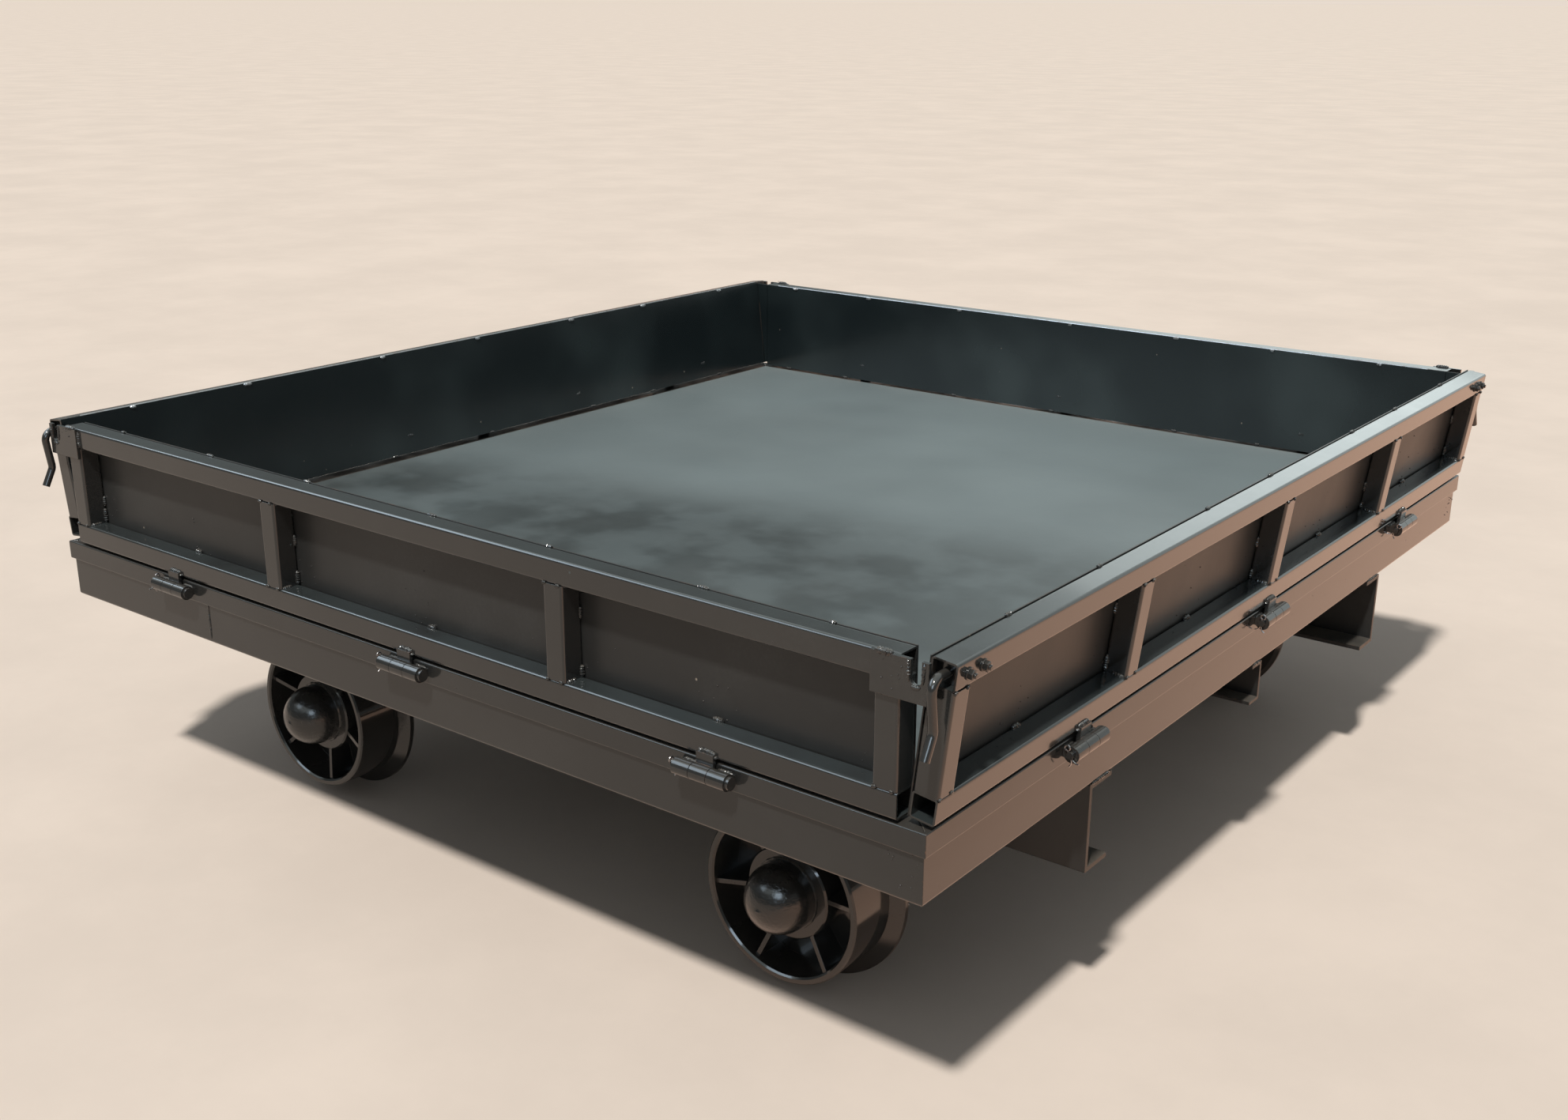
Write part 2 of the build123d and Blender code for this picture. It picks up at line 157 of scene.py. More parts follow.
class TrolleyWelds(bpy.types.PropertyGroup):
    """Sizes of the weld beads."""

    width: bpy.props.FloatProperty(
        name="Width", description="Width of a bead", unit="LENGTH", default=0.009, min=0.002, max=0.03)
    height: bpy.props.FloatProperty(
        name="Height", description="Height of a bead", unit="LENGTH", default=0.0042, min=0.001, max=0.02)
    ripple: bpy.props.FloatProperty(
        name="Ripple", description="Spacing of a bead's ripples", unit="LENGTH", default=0.0042, min=0.001,
        max=0.02)
    tack: bpy.props.FloatProperty(
        name="Tack", description="Length of a tack weld", unit="LENGTH", default=0.020, min=0.004, max=0.1)


class TrolleyFasteners(bpy.types.PropertyGroup):
    """Sizes of the latch bolts and split pins."""

    flats: bpy.props.FloatProperty(
        name="Across flats", description="Nut across its flats", unit="LENGTH", default=0.013, min=0.005,
        max=0.05)
    nut: bpy.props.FloatProperty(
        name="Nut height", description="Height of a nut", unit="LENGTH", default=0.0066, min=0.002,
        max=0.03)
    thread: bpy.props.FloatProperty(
        name="Thread radius", description="Radius of a bolt's thread", unit="LENGTH", default=0.0041,
        min=0.001, max=0.02)
    washer: bpy.props.FloatProperty(
        name="Washer radius", description="Radius of a washer", unit="LENGTH", default=0.0090, min=0.003,
        max=0.03)
    first: bpy.props.FloatProperty(
        name="First bolt", description="From the rail's end to the first bolt", unit="LENGTH",
        default=0.029, min=0.0)
    second: bpy.props.FloatProperty(
        name="Second bolt", description="From the rail's end to the second bolt", unit="LENGTH",
        default=0.065, min=0.0)
    wire: bpy.props.FloatProperty(
        name="Split pin wire", description="Radius of a split pin's wire", unit="LENGTH", default=0.0013,
        min=0.0003)
    eye: bpy.props.FloatProperty(
        name="Split pin eye", description="Radius of a split pin's eye", unit="LENGTH", default=0.0042,
        min=0.001)


class TrolleyStage(bpy.types.PropertyGroup):
    """Floor, lights and camera."""

    floor: bpy.props.FloatVectorProperty(
        name="Floor", description="Colour of the floor", subtype="COLOR", size=4,
        default=(0.80, 0.70, 0.615, 1.0), min=0.0, max=1.0)
    # Painted reflection: floor colours that only gloss shows, dimmer to the front left and warmer to the back
    # right
    floor_near: bpy.props.FloatVectorProperty(
        name="Near floor in gloss", description="Colour of the near floor as gloss shows it",
        subtype="COLOR", size=4,
        default=(0.50, 0.42, 0.36, 1.0), min=0.0, max=1.0)
    floor_far: bpy.props.FloatVectorProperty(
        name="Far floor in gloss", description="Colour of the far floor as gloss shows it",
        subtype="COLOR", size=4,
        default=(0.95, 0.62, 0.46, 1.0), min=0.0, max=1.0)
    sky: bpy.props.FloatProperty(
        name="Sky", description="Strength of the sky light", default=0.24, min=0.0)
    key: bpy.props.FloatProperty(
        name="Key", description="Strength of the key light", default=2.9, min=0.0)
    key_aim: bpy.props.FloatVectorProperty(
        name="Key direction", description="Way in which the key light shines", subtype="DIRECTION", size=3,
        default=(-0.153, 0.473, -0.868))
    bright: bpy.props.FloatProperty(
        name="Bright side", description="What gloss shows of the bright side of the sky", default=0.95,
        min=0.0, max=1.0)
    dark: bpy.props.FloatProperty(
        name="Dark side", description="What gloss shows of the dark side of the sky", default=0.14,
        min=0.0, max=1.0)
    bright_way: bpy.props.FloatProperty(
        name="Bright way", description="Angle of the sky's bright side from the trolley's length",
        subtype="ANGLE",
        default=math.radians(88))
    eye: bpy.props.FloatVectorProperty(
        name="Camera place", description="Where the camera stands", subtype="TRANSLATION", size=3,
        default=(2.0485, -2.7658, 1.5352))
    azimuth: bpy.props.FloatProperty(
        name="Azimuth", description="Camera's angle round the trolley", subtype="ANGLE",
        default=math.radians(37.528))
    elevation: bpy.props.FloatProperty(
        name="Elevation", description="Camera's angle above level", subtype="ANGLE",
        default=math.radians(18.351))
    roll: bpy.props.FloatProperty(
        name="Roll", description="Camera's tilt about its own axis", subtype="ANGLE",
        default=math.radians(0.24))
    lens: bpy.props.FloatProperty(
        name="Lens", description="Focal length on a 36 mm sensor", unit="CAMERA", default=38.807, min=1.0)


# Mesh helpers
SHARP_ANGLE = math.radians(38)


def finish_piece(name, bm, body, finish):
    """Turn a bmesh into a smooth-shaded piece with a finish, which rides on a body."""
    bmesh.ops.recalc_face_normals(bm, faces=bm.faces)
    mesh = bpy.data.meshes.new(name)
    bm.to_mesh(mesh)
    bm.free()
    mesh.materials.append(bpy.data.materials[finish])
    for polygon in mesh.polygons:
        polygon.use_smooth = True
    mesh.set_sharp_from_angle(angle=SHARP_ANGLE)
    piece = bpy.data.objects.new(name, mesh)
    bpy.context.scene.collection.objects.link(piece)
    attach(piece, body)


def add_ring(bm, place, steps, centre, right, up):
    """Ring of vertices round a centre, an ellipse with the half axes `right` and `up`."""
    ring = []
    for step in range(steps):
        angle = 2 * math.pi * step / steps
        ring.append(bm.verts.new(place @ (centre + right * math.cos(angle) + up * math.sin(angle))))
    return ring


def stitch(bm, rings, closed=False):
    """Join rings of vertices into a closed skin, capped at both ends unless the rings run round."""
    pairs = list(zip(rings, rings[1:])) + ([(rings[-1], rings[0])] if closed else [])
    for lower, upper in pairs:
        for index in range(len(lower)):
            after = (index + 1) % len(lower)
            bm.faces.new((lower[index], lower[after], upper[after], upper[index]))
    if not closed:
        bm.faces.new(rings[0][::-1])
        bm.faces.new(rings[-1])


def add_lathe(bm, place, profile, steps):
    """Turn a profile of (radius, height) pairs about the local Z of `place`."""
    rings = []
    for radius, height in profile:
        right, up = Vector((radius, 0, 0)), Vector((0, radius, 0))
        rings.append(add_ring(bm, place, steps, Vector((0, 0, height)), right, up))
    stitch(bm, rings)


def add_wire(bm, place, points, radius, sides=8):
    """Round wire through points in the local frame of `place`."""
    rings = []
    for index, point in enumerate(points):
        before = points[max(index - 1, 0)]
        after = points[min(index + 1, len(points) - 1)]
        turn = (after - before).to_track_quat("Z", "X").to_matrix()
        right, up = turn @ Vector((radius, 0, 0)), turn @ Vector((0, radius, 0))
        rings.append(add_ring(bm, place, sides, point, right, up))
    stitch(bm, rings)


# Form of the weld beads: counts of rings and sides, and shares of a bead's size
RINGS_PER_RIPPLE = 4
FEWEST_RINGS = 6
BEAD_TIP = 0.12
BEAD_WAVE = 0.13
BEAD_JITTER = 0.05
BEAD_SWAY = 0.06
BEAD_SIDES = 8
CAP_BEAD_RIPPLE = 1.4
CAP_BEAD_WAVE = 0.12
CAP_BEAD_HEIGHT = 0.8
CAP_BEAD_SIDES = 6

# Droplets of spatter: the range of their radius in metres, and how far they stand out as a share of it
DROPLET = (0.0006, 0.0015)
DROPLET_LIFT = 0.2


class Torch:
    """Lays beads and spatter in a mesh, at one place and from one run of random numbers."""

    def __init__(self, bm, place, welds, rng):
        self.bm = bm
        self.place = place
        self.welds = welds
        self.rng = rng

    def wave(self, ripple):
        """Uneven swell of a bead, from the height of its ripple."""
        return 1 + ripple + self.rng.uniform(-BEAD_JITTER, BEAD_JITTER)

    def bead(self, start, end, normal, size=1.0):
        """Bead from start to end: a rippled half round with soft ends, half sunk in the steel."""
        start, end = Vector(start), Vector(end)
        normal = Vector(normal).normalized()
        length = (end - start).length
        along = (end - start).normalized()
        across = along.cross(normal).normalized()
        count = max(FEWEST_RINGS, int(RINGS_PER_RIPPLE * length / self.welds.ripple))
        rings = []
        for index in range(count + 1):
            share = index / count
            taper = max(BEAD_TIP, 1 - abs(2 * share - 1) ** 5) ** 0.5
            ripple = math.sin(2 * math.pi * share * length / self.welds.ripple)
            swell = size * taper * self.wave(BEAD_WAVE * ripple)
            sway = across * self.rng.uniform(-BEAD_SWAY, BEAD_SWAY) * self.welds.width
            middle = start + along * (length * share) + sway
            right, up = across * (self.welds.width / 2 * swell), normal * (self.welds.height * swell)
            rings.append(add_ring(self.bm, self.place, BEAD_SIDES, middle, right, up))
        stitch(self.bm, rings)

    def cap_bead(self, centre, radius):
        """Bead right round a hub cap, about an axis along Y."""
        ripple = CAP_BEAD_RIPPLE * self.welds.ripple
        count = int(RINGS_PER_RIPPLE * 2 * math.pi * radius / ripple)
        rings = []
        for index in range(count):
            angle = 2 * math.pi * index / count
            wave = self.wave(CAP_BEAD_WAVE * math.sin(angle * radius / ripple * 2))
            thick = self.welds.height * CAP_BEAD_HEIGHT * wave
            out = Vector((math.cos(angle), 0, math.sin(angle)))
            up = Vector((0, math.copysign(thick, centre.y), 0))
            middle = centre + out * radius
            rings.append(add_ring(self.bm, self.place, CAP_BEAD_SIDES, middle, out * thick, up))
        stitch(self.bm, rings, closed=True)

    def spatter(self, centre, count, reach):
        """Droplets of weld metal thrown round a spot on an outer face."""
        for _ in range(count):
            spot = Vector(centre) + Vector((self.rng.gauss(0, reach), 0, self.rng.gauss(0, reach)))
            size = self.rng.uniform(*DROPLET)
            ball = bmesh.ops.create_icosphere(self.bm, subdivisions=1, radius=size)
            lift = Matrix.Translation(self.place @ (spot - Vector((0, size * DROPLET_LIFT, 0))))
            bmesh.ops.transform(self.bm, matrix=lift, verts=ball["verts"])


# Shader helpers
COLOUR, NUMBER, DIRECTION = "NodeSocketColor", "NodeSocketFloat", "NodeSocketVector"


def new_group(name, inputs, outputs):
    """Empty shader node group with named sockets, and its two ends."""
    group = bpy.data.node_groups.new(name, "ShaderNodeTree")
    for label, kind, value in inputs:
        socket = group.interface.new_socket(name=label, in_out="INPUT", socket_type=kind)
        socket.default_value = value
    for label, kind in outputs:
        group.interface.new_socket(name=label, in_out="OUTPUT", socket_type=kind)
    return group, group.nodes.new("NodeGroupInput"), group.nodes.new("NodeGroupOutput")


def feed(tree, socket, value):
    """Link a socket to another one, or set its constant."""
    if isinstance(value, bpy.types.NodeSocket):
        tree.links.new(value, socket)
    else:
        socket.default_value = value


def ramp(tree, source, low, high, floor=0.0, top=1.0):
    """Smooth step of a value between two limits."""
    node = tree.nodes.new("ShaderNodeMapRange")
    node.interpolation_type = "SMOOTHSTEP"
    for socket, value in zip(node.inputs, (source, low, high, floor, top)):
        feed(tree, socket, value)
    return node.outputs[0]


def arithmetic(tree, operation, *values):
    """Math node on sockets or numbers."""
    node = tree.nodes.new("ShaderNodeMath")
    node.operation = operation
    for socket, value in zip(node.inputs, values):
        feed(tree, socket, value)
    return node.outputs[0]


def dot_product(tree, first, second):
    """Dot product of two vectors: with a constant one, how far a point lies along it."""
    node = tree.nodes.new("ShaderNodeVectorMath")
    node.operation = "DOT_PRODUCT"
    feed(tree, node.inputs[0], first)
    feed(tree, node.inputs[1], second)
    return node.outputs["Value"]


def blend_colour(tree, factor, first, second):
    """Mix of two colours by a factor."""
    node = tree.nodes.new("ShaderNodeMix")
    node.data_type = "RGBA"
    for index, value in ((0, factor), (6, first), (7, second)):
        feed(tree, node.inputs[index], value)
    return node.outputs[2]


def mix_shaders(tree, factor, first, second):
    """Mix of two shaders by a factor."""
    node = tree.nodes.new("ShaderNodeMixShader")
    for socket, source in zip(node.inputs, (factor, first, second)):
        tree.links.new(source, socket)
    return node.outputs[0]


def noise(tree, vector, scale, detail=3.0, rough=0.55):
    """Noise value at a scale in cycles per metre."""
    node = tree.nodes.new("ShaderNodeTexNoise")
    for label, value in (("Vector", vector), ("Scale", scale), ("Detail", detail), ("Roughness", rough)):
        feed(tree, node.inputs[label], value)
    return node.outputs["Fac"]


def object_place(tree):
    """Where a point lies on its piece."""
    return tree.nodes.new("ShaderNodeTexCoord").outputs["Object"]


def add_bump(tree, shader, height, strength, distance):
    """Bump node that gives a shader its normal."""
    bump = tree.nodes.new("ShaderNodeBump")
    for label, value in (("Strength", strength), ("Distance", distance), ("Height", height)):
        feed(tree, bump.inputs[label], value)
    tree.links.new(bump.outputs["Normal"], shader.inputs["Normal"])
    return bump


def sprayed_enamel_group():
    """Sprayed enamel: soft dry clouds, uneven gloss and orange peel."""
    group, start, end = new_group(
        "sprayed enamel",
        [("Paint", COLOUR, (0.02, 0.02, 0.02, 1)), ("Cloud", COLOUR, (0.05, 0.05, 0.05, 1)),
         ("Cloud Scale", NUMBER, 4.0), ("Cloud Amount", NUMBER, 0.5), ("Roughness", NUMBER, 0.3),
         ("Unevenness", NUMBER, 0.15), ("Peel Scale", NUMBER, 420.0)],
        [("Color", COLOUR), ("Roughness", NUMBER), ("Height", NUMBER)])
    grain_scale, patch_scale, wave_scale = 160.0, 9.0, 14.0
    cloud_roughness = 0.12
    place = object_place(group)
    soft = ramp(group, noise(group, place, start.outputs["Cloud Scale"], detail=4.0, rough=0.6), 0.40, 0.72)
    grain = ramp(group, noise(group, place, grain_scale, detail=2.0), 0.35, 0.8)
    cloud = arithmetic(group, "MULTIPLY", soft, start.outputs["Cloud Amount"])
    cloud = arithmetic(group, "MULTIPLY", cloud, arithmetic(group, "MULTIPLY_ADD", grain, 0.5, 0.5))
    paint = blend_colour(group, cloud, start.outputs["Paint"], start.outputs["Cloud"])
    group.links.new(paint, end.inputs["Color"])
    patch = arithmetic(group, "SUBTRACT", noise(group, place, patch_scale, detail=5.0, rough=0.65), 0.5)
    patch = arithmetic(group, "MULTIPLY", patch, start.outputs["Unevenness"])
    rough = arithmetic(group, "ADD", start.outputs["Roughness"], patch)
    rough = arithmetic(group, "ADD", rough, arithmetic(group, "MULTIPLY", cloud, cloud_roughness))
    group.links.new(rough, end.inputs["Roughness"])
    peel = arithmetic(group, "MULTIPLY", noise(group, place, start.outputs["Peel Scale"], detail=2.0), 0.5)
    wave = arithmetic(group, "ADD", peel, noise(group, place, wave_scale, detail=2.0))
    group.links.new(wave, end.inputs["Height"])
    return group


def edge_rub_group():
    """Edges where the paint is rubbed through, found by rounding the normal."""
    group, start, end = new_group(
        "edge rub",
        [("Color", COLOUR, (0.02, 0.02, 0.02, 1)), ("Bare", COLOUR, (0.3, 0.2, 0.1, 1)),
         ("Amount", NUMBER, 0.5), ("Spread", NUMBER, 0.5)],
        [("Color", COLOUR), ("Mask", NUMBER), ("Normal", DIRECTION)])
    edge_radius, break_scale = 0.0016, 38.0
    rounded = group.nodes.new("ShaderNodeBevel")
    rounded.samples = 6
    rounded.inputs["Radius"].default_value = edge_radius
    flat = group.nodes.new("ShaderNodeNewGeometry")
    edge = ramp(group, dot_product(group, rounded.outputs["Normal"], flat.outputs["Normal"]), 0.985, 0.86)
    broken = noise(group, object_place(group), break_scale, detail=4.0, rough=0.7)
    broken = arithmetic(group, "ADD", broken, arithmetic(group, "SUBTRACT", start.outputs["Spread"], 0.5))
    mask = arithmetic(group, "MULTIPLY", edge, ramp(group, broken, 0.50, 0.62))
    mask = arithmetic(group, "MULTIPLY", mask, start.outputs["Amount"])
    rubbed = blend_colour(group, mask, start.outputs["Color"], start.outputs["Bare"])
    group.links.new(rubbed, end.inputs["Color"])
    group.links.new(mask, end.inputs["Mask"])
    group.links.new(rounded.outputs["Normal"], end.inputs["Normal"])
    return group


def dust_and_sheen_group():
    """A film on what faces up, in the colour each finish gives it: pale dust on most, grime on the frame, a
    painted blue-grey sheen of the sky on the boards; and small pale specks of overspray all over.
    """
    group, start, end = new_group(
        "settled dust",
        [("Color", COLOUR, (0.02, 0.02, 0.02, 1)), ("Dust", COLOUR, (0.3, 0.26, 0.2, 1)),
         ("Film", NUMBER, 0.1), ("Specks", NUMBER, 0.3)],
        [("Color", COLOUR), ("Mask", NUMBER)])
    film_scale, speck_scale = 6.0, 34.0
    coord = group.nodes.new("ShaderNodeTexCoord")
    split = group.nodes.new("ShaderNodeSeparateXYZ")
    group.links.new(coord.outputs["Normal"], split.inputs[0])
    up = ramp(group, split.outputs["Z"], 0.55, 1.0)
    patches = ramp(group, noise(group, coord.outputs["Object"], film_scale, detail=6.0, rough=0.7), 0.2, 0.6)
    film = arithmetic(group, "MULTIPLY", up, patches)
    film = arithmetic(group, "MULTIPLY", film, start.outputs["Film"])
    cells = group.nodes.new("ShaderNodeTexVoronoi")
    cells.inputs["Scale"].default_value = speck_scale
    group.links.new(coord.outputs["Object"], cells.inputs["Vector"])
    dots = ramp(group, cells.outputs["Distance"], 0.085, 0.05)
    pick = group.nodes.new("ShaderNodeSeparateColor")
    group.links.new(cells.outputs["Color"], pick.inputs[0])
    dots = arithmetic(group, "MULTIPLY", dots, ramp(group, pick.outputs[0], 0.90, 0.93))
    dots = arithmetic(group, "MULTIPLY", dots, start.outputs["Specks"])
    mask = arithmetic(group, "MAXIMUM", film, dots)
    dusty = blend_colour(group, mask, start.outputs["Color"], start.outputs["Dust"])
    group.links.new(dusty, end.inputs["Color"])
    group.links.new(mask, end.inputs["Mask"])
    return group


def place_group(tree, group, **values):
    """Put a group in a material, with underscores in names for spaces."""
    node = tree.nodes.new("ShaderNodeGroup")
    node.node_tree = group
    for key, value in values.items():
        feed(tree, node.inputs[key.replace("_", " ")], value)
    return node


def fresh_material(name):
    """The named material with nothing in it but a Principled shader, and that shader."""
    material = bpy.data.materials.get(name) or bpy.data.materials.new(name)
    material.use_nodes = True
    nodes = material.node_tree.nodes
    nodes.clear()
    shader = nodes.new("ShaderNodeBsdfPrincipled")
    output = nodes.new("ShaderNodeOutputMaterial")
    material.node_tree.links.new(shader.outputs[0], output.inputs["Surface"])
    return material, shader


def facing_in(tree, place):
    """1 on faces that look towards the trolley's middle, 0 on the others."""
    level = tree.nodes.new("ShaderNodeVectorMath")
    level.operation = "MULTIPLY"
    level.inputs[1].default_value = (1, 1, 0)
    tree.links.new(place, level.inputs[0])
    normal = tree.nodes.new("ShaderNodeTexCoord").outputs["Normal"]
    return ramp(tree, dot_product(tree, level.outputs["Vector"], normal), -0.2, -0.7)


# Enamel's optics, and how much the deck's haze, the boards' shaded inside faces, wear and the upward film change
# its roughness
ENAMEL_IOR = 1.4
RUB_SPREAD = 0.46
HAZE_ROUGHNESS = 0.14
LINING_SMOOTHNESS = 0.26
WEAR_ROUGHNESS = 0.3
DUST_ROUGHNESS = 0.4

# Direction across the deck to the far side, along which the painted shade on its near half fades out
SHADE_FADE_WAY = (-0.21, 1.10, 0)


def deck_haze_and_shade(tree, place):
    """How hazy the deck is: clouded all over, less a painted dappled shade in lumpy patches on its near half."""
    haze = ramp(tree, noise(tree, place, 1.4, detail=3.0, rough=0.5), 0.3, 0.7, floor=0.70)
    # Painted shade: lumpy dark patches, strongest on the deck's near half, cut out of the haze
    shade_lumps = ramp(tree, noise(tree, place, 5.6, detail=3.0, rough=0.5), 0.36, 0.62, floor=0.60, top=1.05)
    level = dot_product(tree, place, SHADE_FADE_WAY)
    near = ramp(tree, level, 0.15, -0.30, top=0.68)
    nearest = ramp(tree, level, -0.30, -1.1, top=0.10)
    painted_shade = arithmetic(tree, "MULTIPLY", arithmetic(tree, "ADD", near, nearest), shade_lumps)
    return arithmetic(tree, "SUBTRACT", haze, painted_shade)


def enamel_material(name, groups, paint, base, rough, *, cloud_scale=3.0, clouds=0.5, uneven=0.16, rub=0.6,
                    film=0.12, specks=0.3, coat=0.8, coat_rough=0.07, grain=0.10, peel=420.0, depth=0.0006,
                    film_colour="dust", shaded_inside=0.0, hazed_and_shaded=False):
    """Black enamel on steel, with its own cloudiness, rubbed edges and an upward film that is dust on most
    finishes, grime on the frame and painted sheen on the boards; the deck's haze holds painted shade, and the
    boards' inside faces painted shade and reflection.
    """
    material, shader = fresh_material(name)
    tree = material.node_tree
    shader.inputs["IOR"].default_value = ENAMEL_IOR
    shader.inputs["Coat Roughness"].default_value = coat_rough
    spray = place_group(tree, groups["spray"], Paint=base, Cloud=paint.cloud, Cloud_Scale=cloud_scale,
                        Cloud_Amount=clouds, Roughness=rough, Unevenness=uneven, Peel_Scale=peel)
    colour, roughness = spray.outputs["Color"], spray.outputs["Roughness"]
    place = object_place(tree)
    # On the deck the haze carries painted shade on its near half
    if hazed_and_shaded:
        haze = deck_haze_and_shade(tree, place)
        colour = blend_colour(tree, haze, colour, paint.haze)
        rougher = arithmetic(tree, "MULTIPLY", haze, HAZE_ROUGHNESS)
        roughness = arithmetic(tree, "ADD", roughness, rougher)
    # Inside faces: painted shade in dark teal, with paler patches of painted reflection
    if shaded_inside:
        inward = facing_in(tree, place)
        reflection_patches = ramp(tree, noise(tree, place, 2.6, detail=2.0, rough=0.5), 0.40, 0.68)
        colour = blend_colour(tree, inward, colour, blend_colour(tree, reflection_patches, paint.shaded_inside, paint.reflection_patches))
    dust = place_group(tree, groups["dust"], Color=colour, Dust=getattr(paint, film_colour), Film=film,
                       Specks=specks)
    clean = arithmetic(tree, "SUBTRACT", 1.0, dust.outputs["Mask"])
    gloss = arithmetic(tree, "MULTIPLY", clean, coat)
    if shaded_inside:
        gloss = arithmetic(tree, "ADD", gloss, arithmetic(tree, "MULTIPLY", inward, shaded_inside))
        smoother = arithmetic(tree, "MULTIPLY", inward, LINING_SMOOTHNESS)
        roughness = arithmetic(tree, "SUBTRACT", roughness, smoother)
    tree.links.new(gloss, shader.inputs["Coat Weight"])
    edge = place_group(tree, groups["edge"], Color=dust.outputs["Color"], Bare=paint.bare, Amount=rub,
                       Spread=RUB_SPREAD)
    tree.links.new(edge.outputs["Color"], shader.inputs["Base Color"])
    for source, share in ((edge, WEAR_ROUGHNESS), (dust, DUST_ROUGHNESS)):
        rougher = arithmetic(tree, "MULTIPLY", source.outputs["Mask"], share)
        roughness = arithmetic(tree, "ADD", roughness, rougher)
    tree.links.new(roughness, shader.inputs["Roughness"])
    bump = add_bump(tree, shader, spray.outputs["Height"], grain, depth)
    tree.links.new(edge.outputs["Normal"], bump.inputs["Normal"])


def steel_material(name, groups, paint, base, rough):
    """Plated steel of the split pins; the same bright steel makes the painted highlight of tacks and wire on the
    far boards' top edges.
    """
    material, shader = fresh_material(name)
    tree = material.node_tree
    shader.inputs["Metallic"].default_value = 1.0
    spray = place_group(tree, groups["spray"], Paint=base, Cloud=paint.bare, Cloud_Scale=60.0,
                        Cloud_Amount=0.45, Roughness=rough, Unevenness=0.3)
    tree.links.new(spray.outputs["Color"], shader.inputs["Base Color"])
    tree.links.new(spray.outputs["Roughness"], shader.inputs["Roughness"])
    add_bump(tree, shader, spray.outputs["Height"], strength=0.2, distance=0.0006)


# Columns: name, colour in the paint settings, roughness beyond the enamel's own, and the finish's own values
FINISHES = [
    ("deck_enamel", "deck", 0.27, dict(
        cloud_scale=2.2, rub=0.2, film=0.02, specks=0.35, coat=0.3, coat_rough=0.34, hazed_and_shaded=True)),
    ("frame_enamel", "enamel", 0.0, dict(cloud_scale=2.6, uneven=0.10, rub=0.85, film=1.0, film_colour="grime")),
    ("beam_enamel", "enamel", 0.20, dict(
        cloud_scale=4.0, uneven=0.10, film=0.3, coat=0.15, coat_rough=0.30)),
    # The boards' upward film is a painted sheen of the sky
    ("panel_enamel", "enamel", -0.02, dict(
        cloud_scale=3.4, uneven=0.10, rub=0.5, film=0.14, coat=1.0, film_colour="painted_sheen")),
    ("skin_enamel", "enamel", 0.26, dict(
        cloud_scale=3.0, clouds=0.9, rub=0.3, film=0.1, specks=0.75, coat=0.25, coat_rough=0.26,
        shaded_inside=0.75)),
    ("fitting_enamel", "enamel", 0.0, dict(cloud_scale=18.0, clouds=0.4, uneven=0.12, film=0.1, specks=0.2)),
    ("wheel_enamel", "enamel", -0.03, dict(
        cloud_scale=9.0, clouds=0.3, uneven=0.08, rub=0.25, film=0.06, specks=0.15, coat_rough=0.05,
        grain=0.2)),
    ("cap_enamel", "enamel", 0.08, dict(
        cloud_scale=9.0, clouds=0.3, rub=0.1, film=0.06, specks=0.15, coat=1.0, coat_rough=0.20, grain=1.0,
        peel=170.0, depth=0.0028)),
    ("axle_steel", "enamel", 0.15, dict(cloud_scale=12.0, clouds=0.6, rub=0.4)),
    # Weld beads: a thick upward film, partly real dust, partly a painted highlight that lightens them towards
    # their glints
    ("weld_enamel", "enamel", 0.05, dict(cloud_scale=40.0, clouds=0.8, rub=0.0, film=0.25, specks=0.0)),
    ("bolt_enamel", "enamel", 0.0, dict(
        cloud_scale=60.0, clouds=0.4, rub=0.1, film=0.1, specks=0.0, coat=0.7)),
]
PIN_COLOUR = (0.42, 0.42, 0.43, 1)
PIN_ROUGHNESS = 0.26


def finish_of(node):
    """Name of the finish of a CAD node: its record slot's, with skins, hub caps and beams set apart."""
    if node.endswith("_skin"):
        return "skin_enamel"
    if node.startswith("hub_caps"):
        return "cap_enamel"
    if "_beam" in node or node.startswith("axle_boxes"):
        return "beam_enamel"
    return SLOT_OF[node]


class TROLLEY_OT_paint(bpy.types.Operator):
    """Make the finishes and paint the steelwork with them"""

    bl_idname = "trolley.paint"
    bl_label = "Paint the steelwork"

    def execute(self, context):
        paint = context.scene.trolley_paint
        groups = {"spray": sprayed_enamel_group(), "edge": edge_rub_group(), "dust": dust_and_sheen_group()}
        for name, colour, rougher, values in FINISHES:
            enamel_material(name, groups, paint, getattr(paint, colour), paint.gloss + rougher, **values)
        steel_material("pin_steel", groups, paint, PIN_COLOUR, PIN_ROUGHNESS)
        for name, node in frame["nodes"].items():
            node.data.materials.clear()
            node.data.materials.append(bpy.data.materials[finish_of(name)])
        return {"FINISHED"}


# Seeds of the random draws
BOARD_SEED = 40
FRAME_SEED = 7

# Counts and places of tacks, and the share of half a skirt at which it is spliced
EDGE_TACKS = 7
FACE_TACK_SPOTS = (-0.016, 0.012)
SPLICE = 0.56

# Board welds, in metres. A pair is a range to draw from, and a shift is drawn to either side.
POST_BEAD_START = 0.004
POST_BEAD_END = (0.022, 0.034)
POST_TACK_RISE = (0.03, 0.10)
CORNER_BEAD = (0.014, 0.030)
SKIN_BEAD_OFF = 0.002
CORNER_BEAD_OFF = 0.0035
SPATTER_OFF = 0.03
FACE_TACK = (0.005, 0.009)
SKIN_TACK_SHIFT = 0.03
EDGE_TACK = (0.010, 0.022)
TOP_TACK_SHIFT = 0.05
LOW_TACK_SHIFT = 0.08
HIGHLIGHT_TACK_DROP = 0.003
HIGHLIGHT_WIRE_RADIUS = 0.0016
TAB_BEAD_SHORT = 0.002

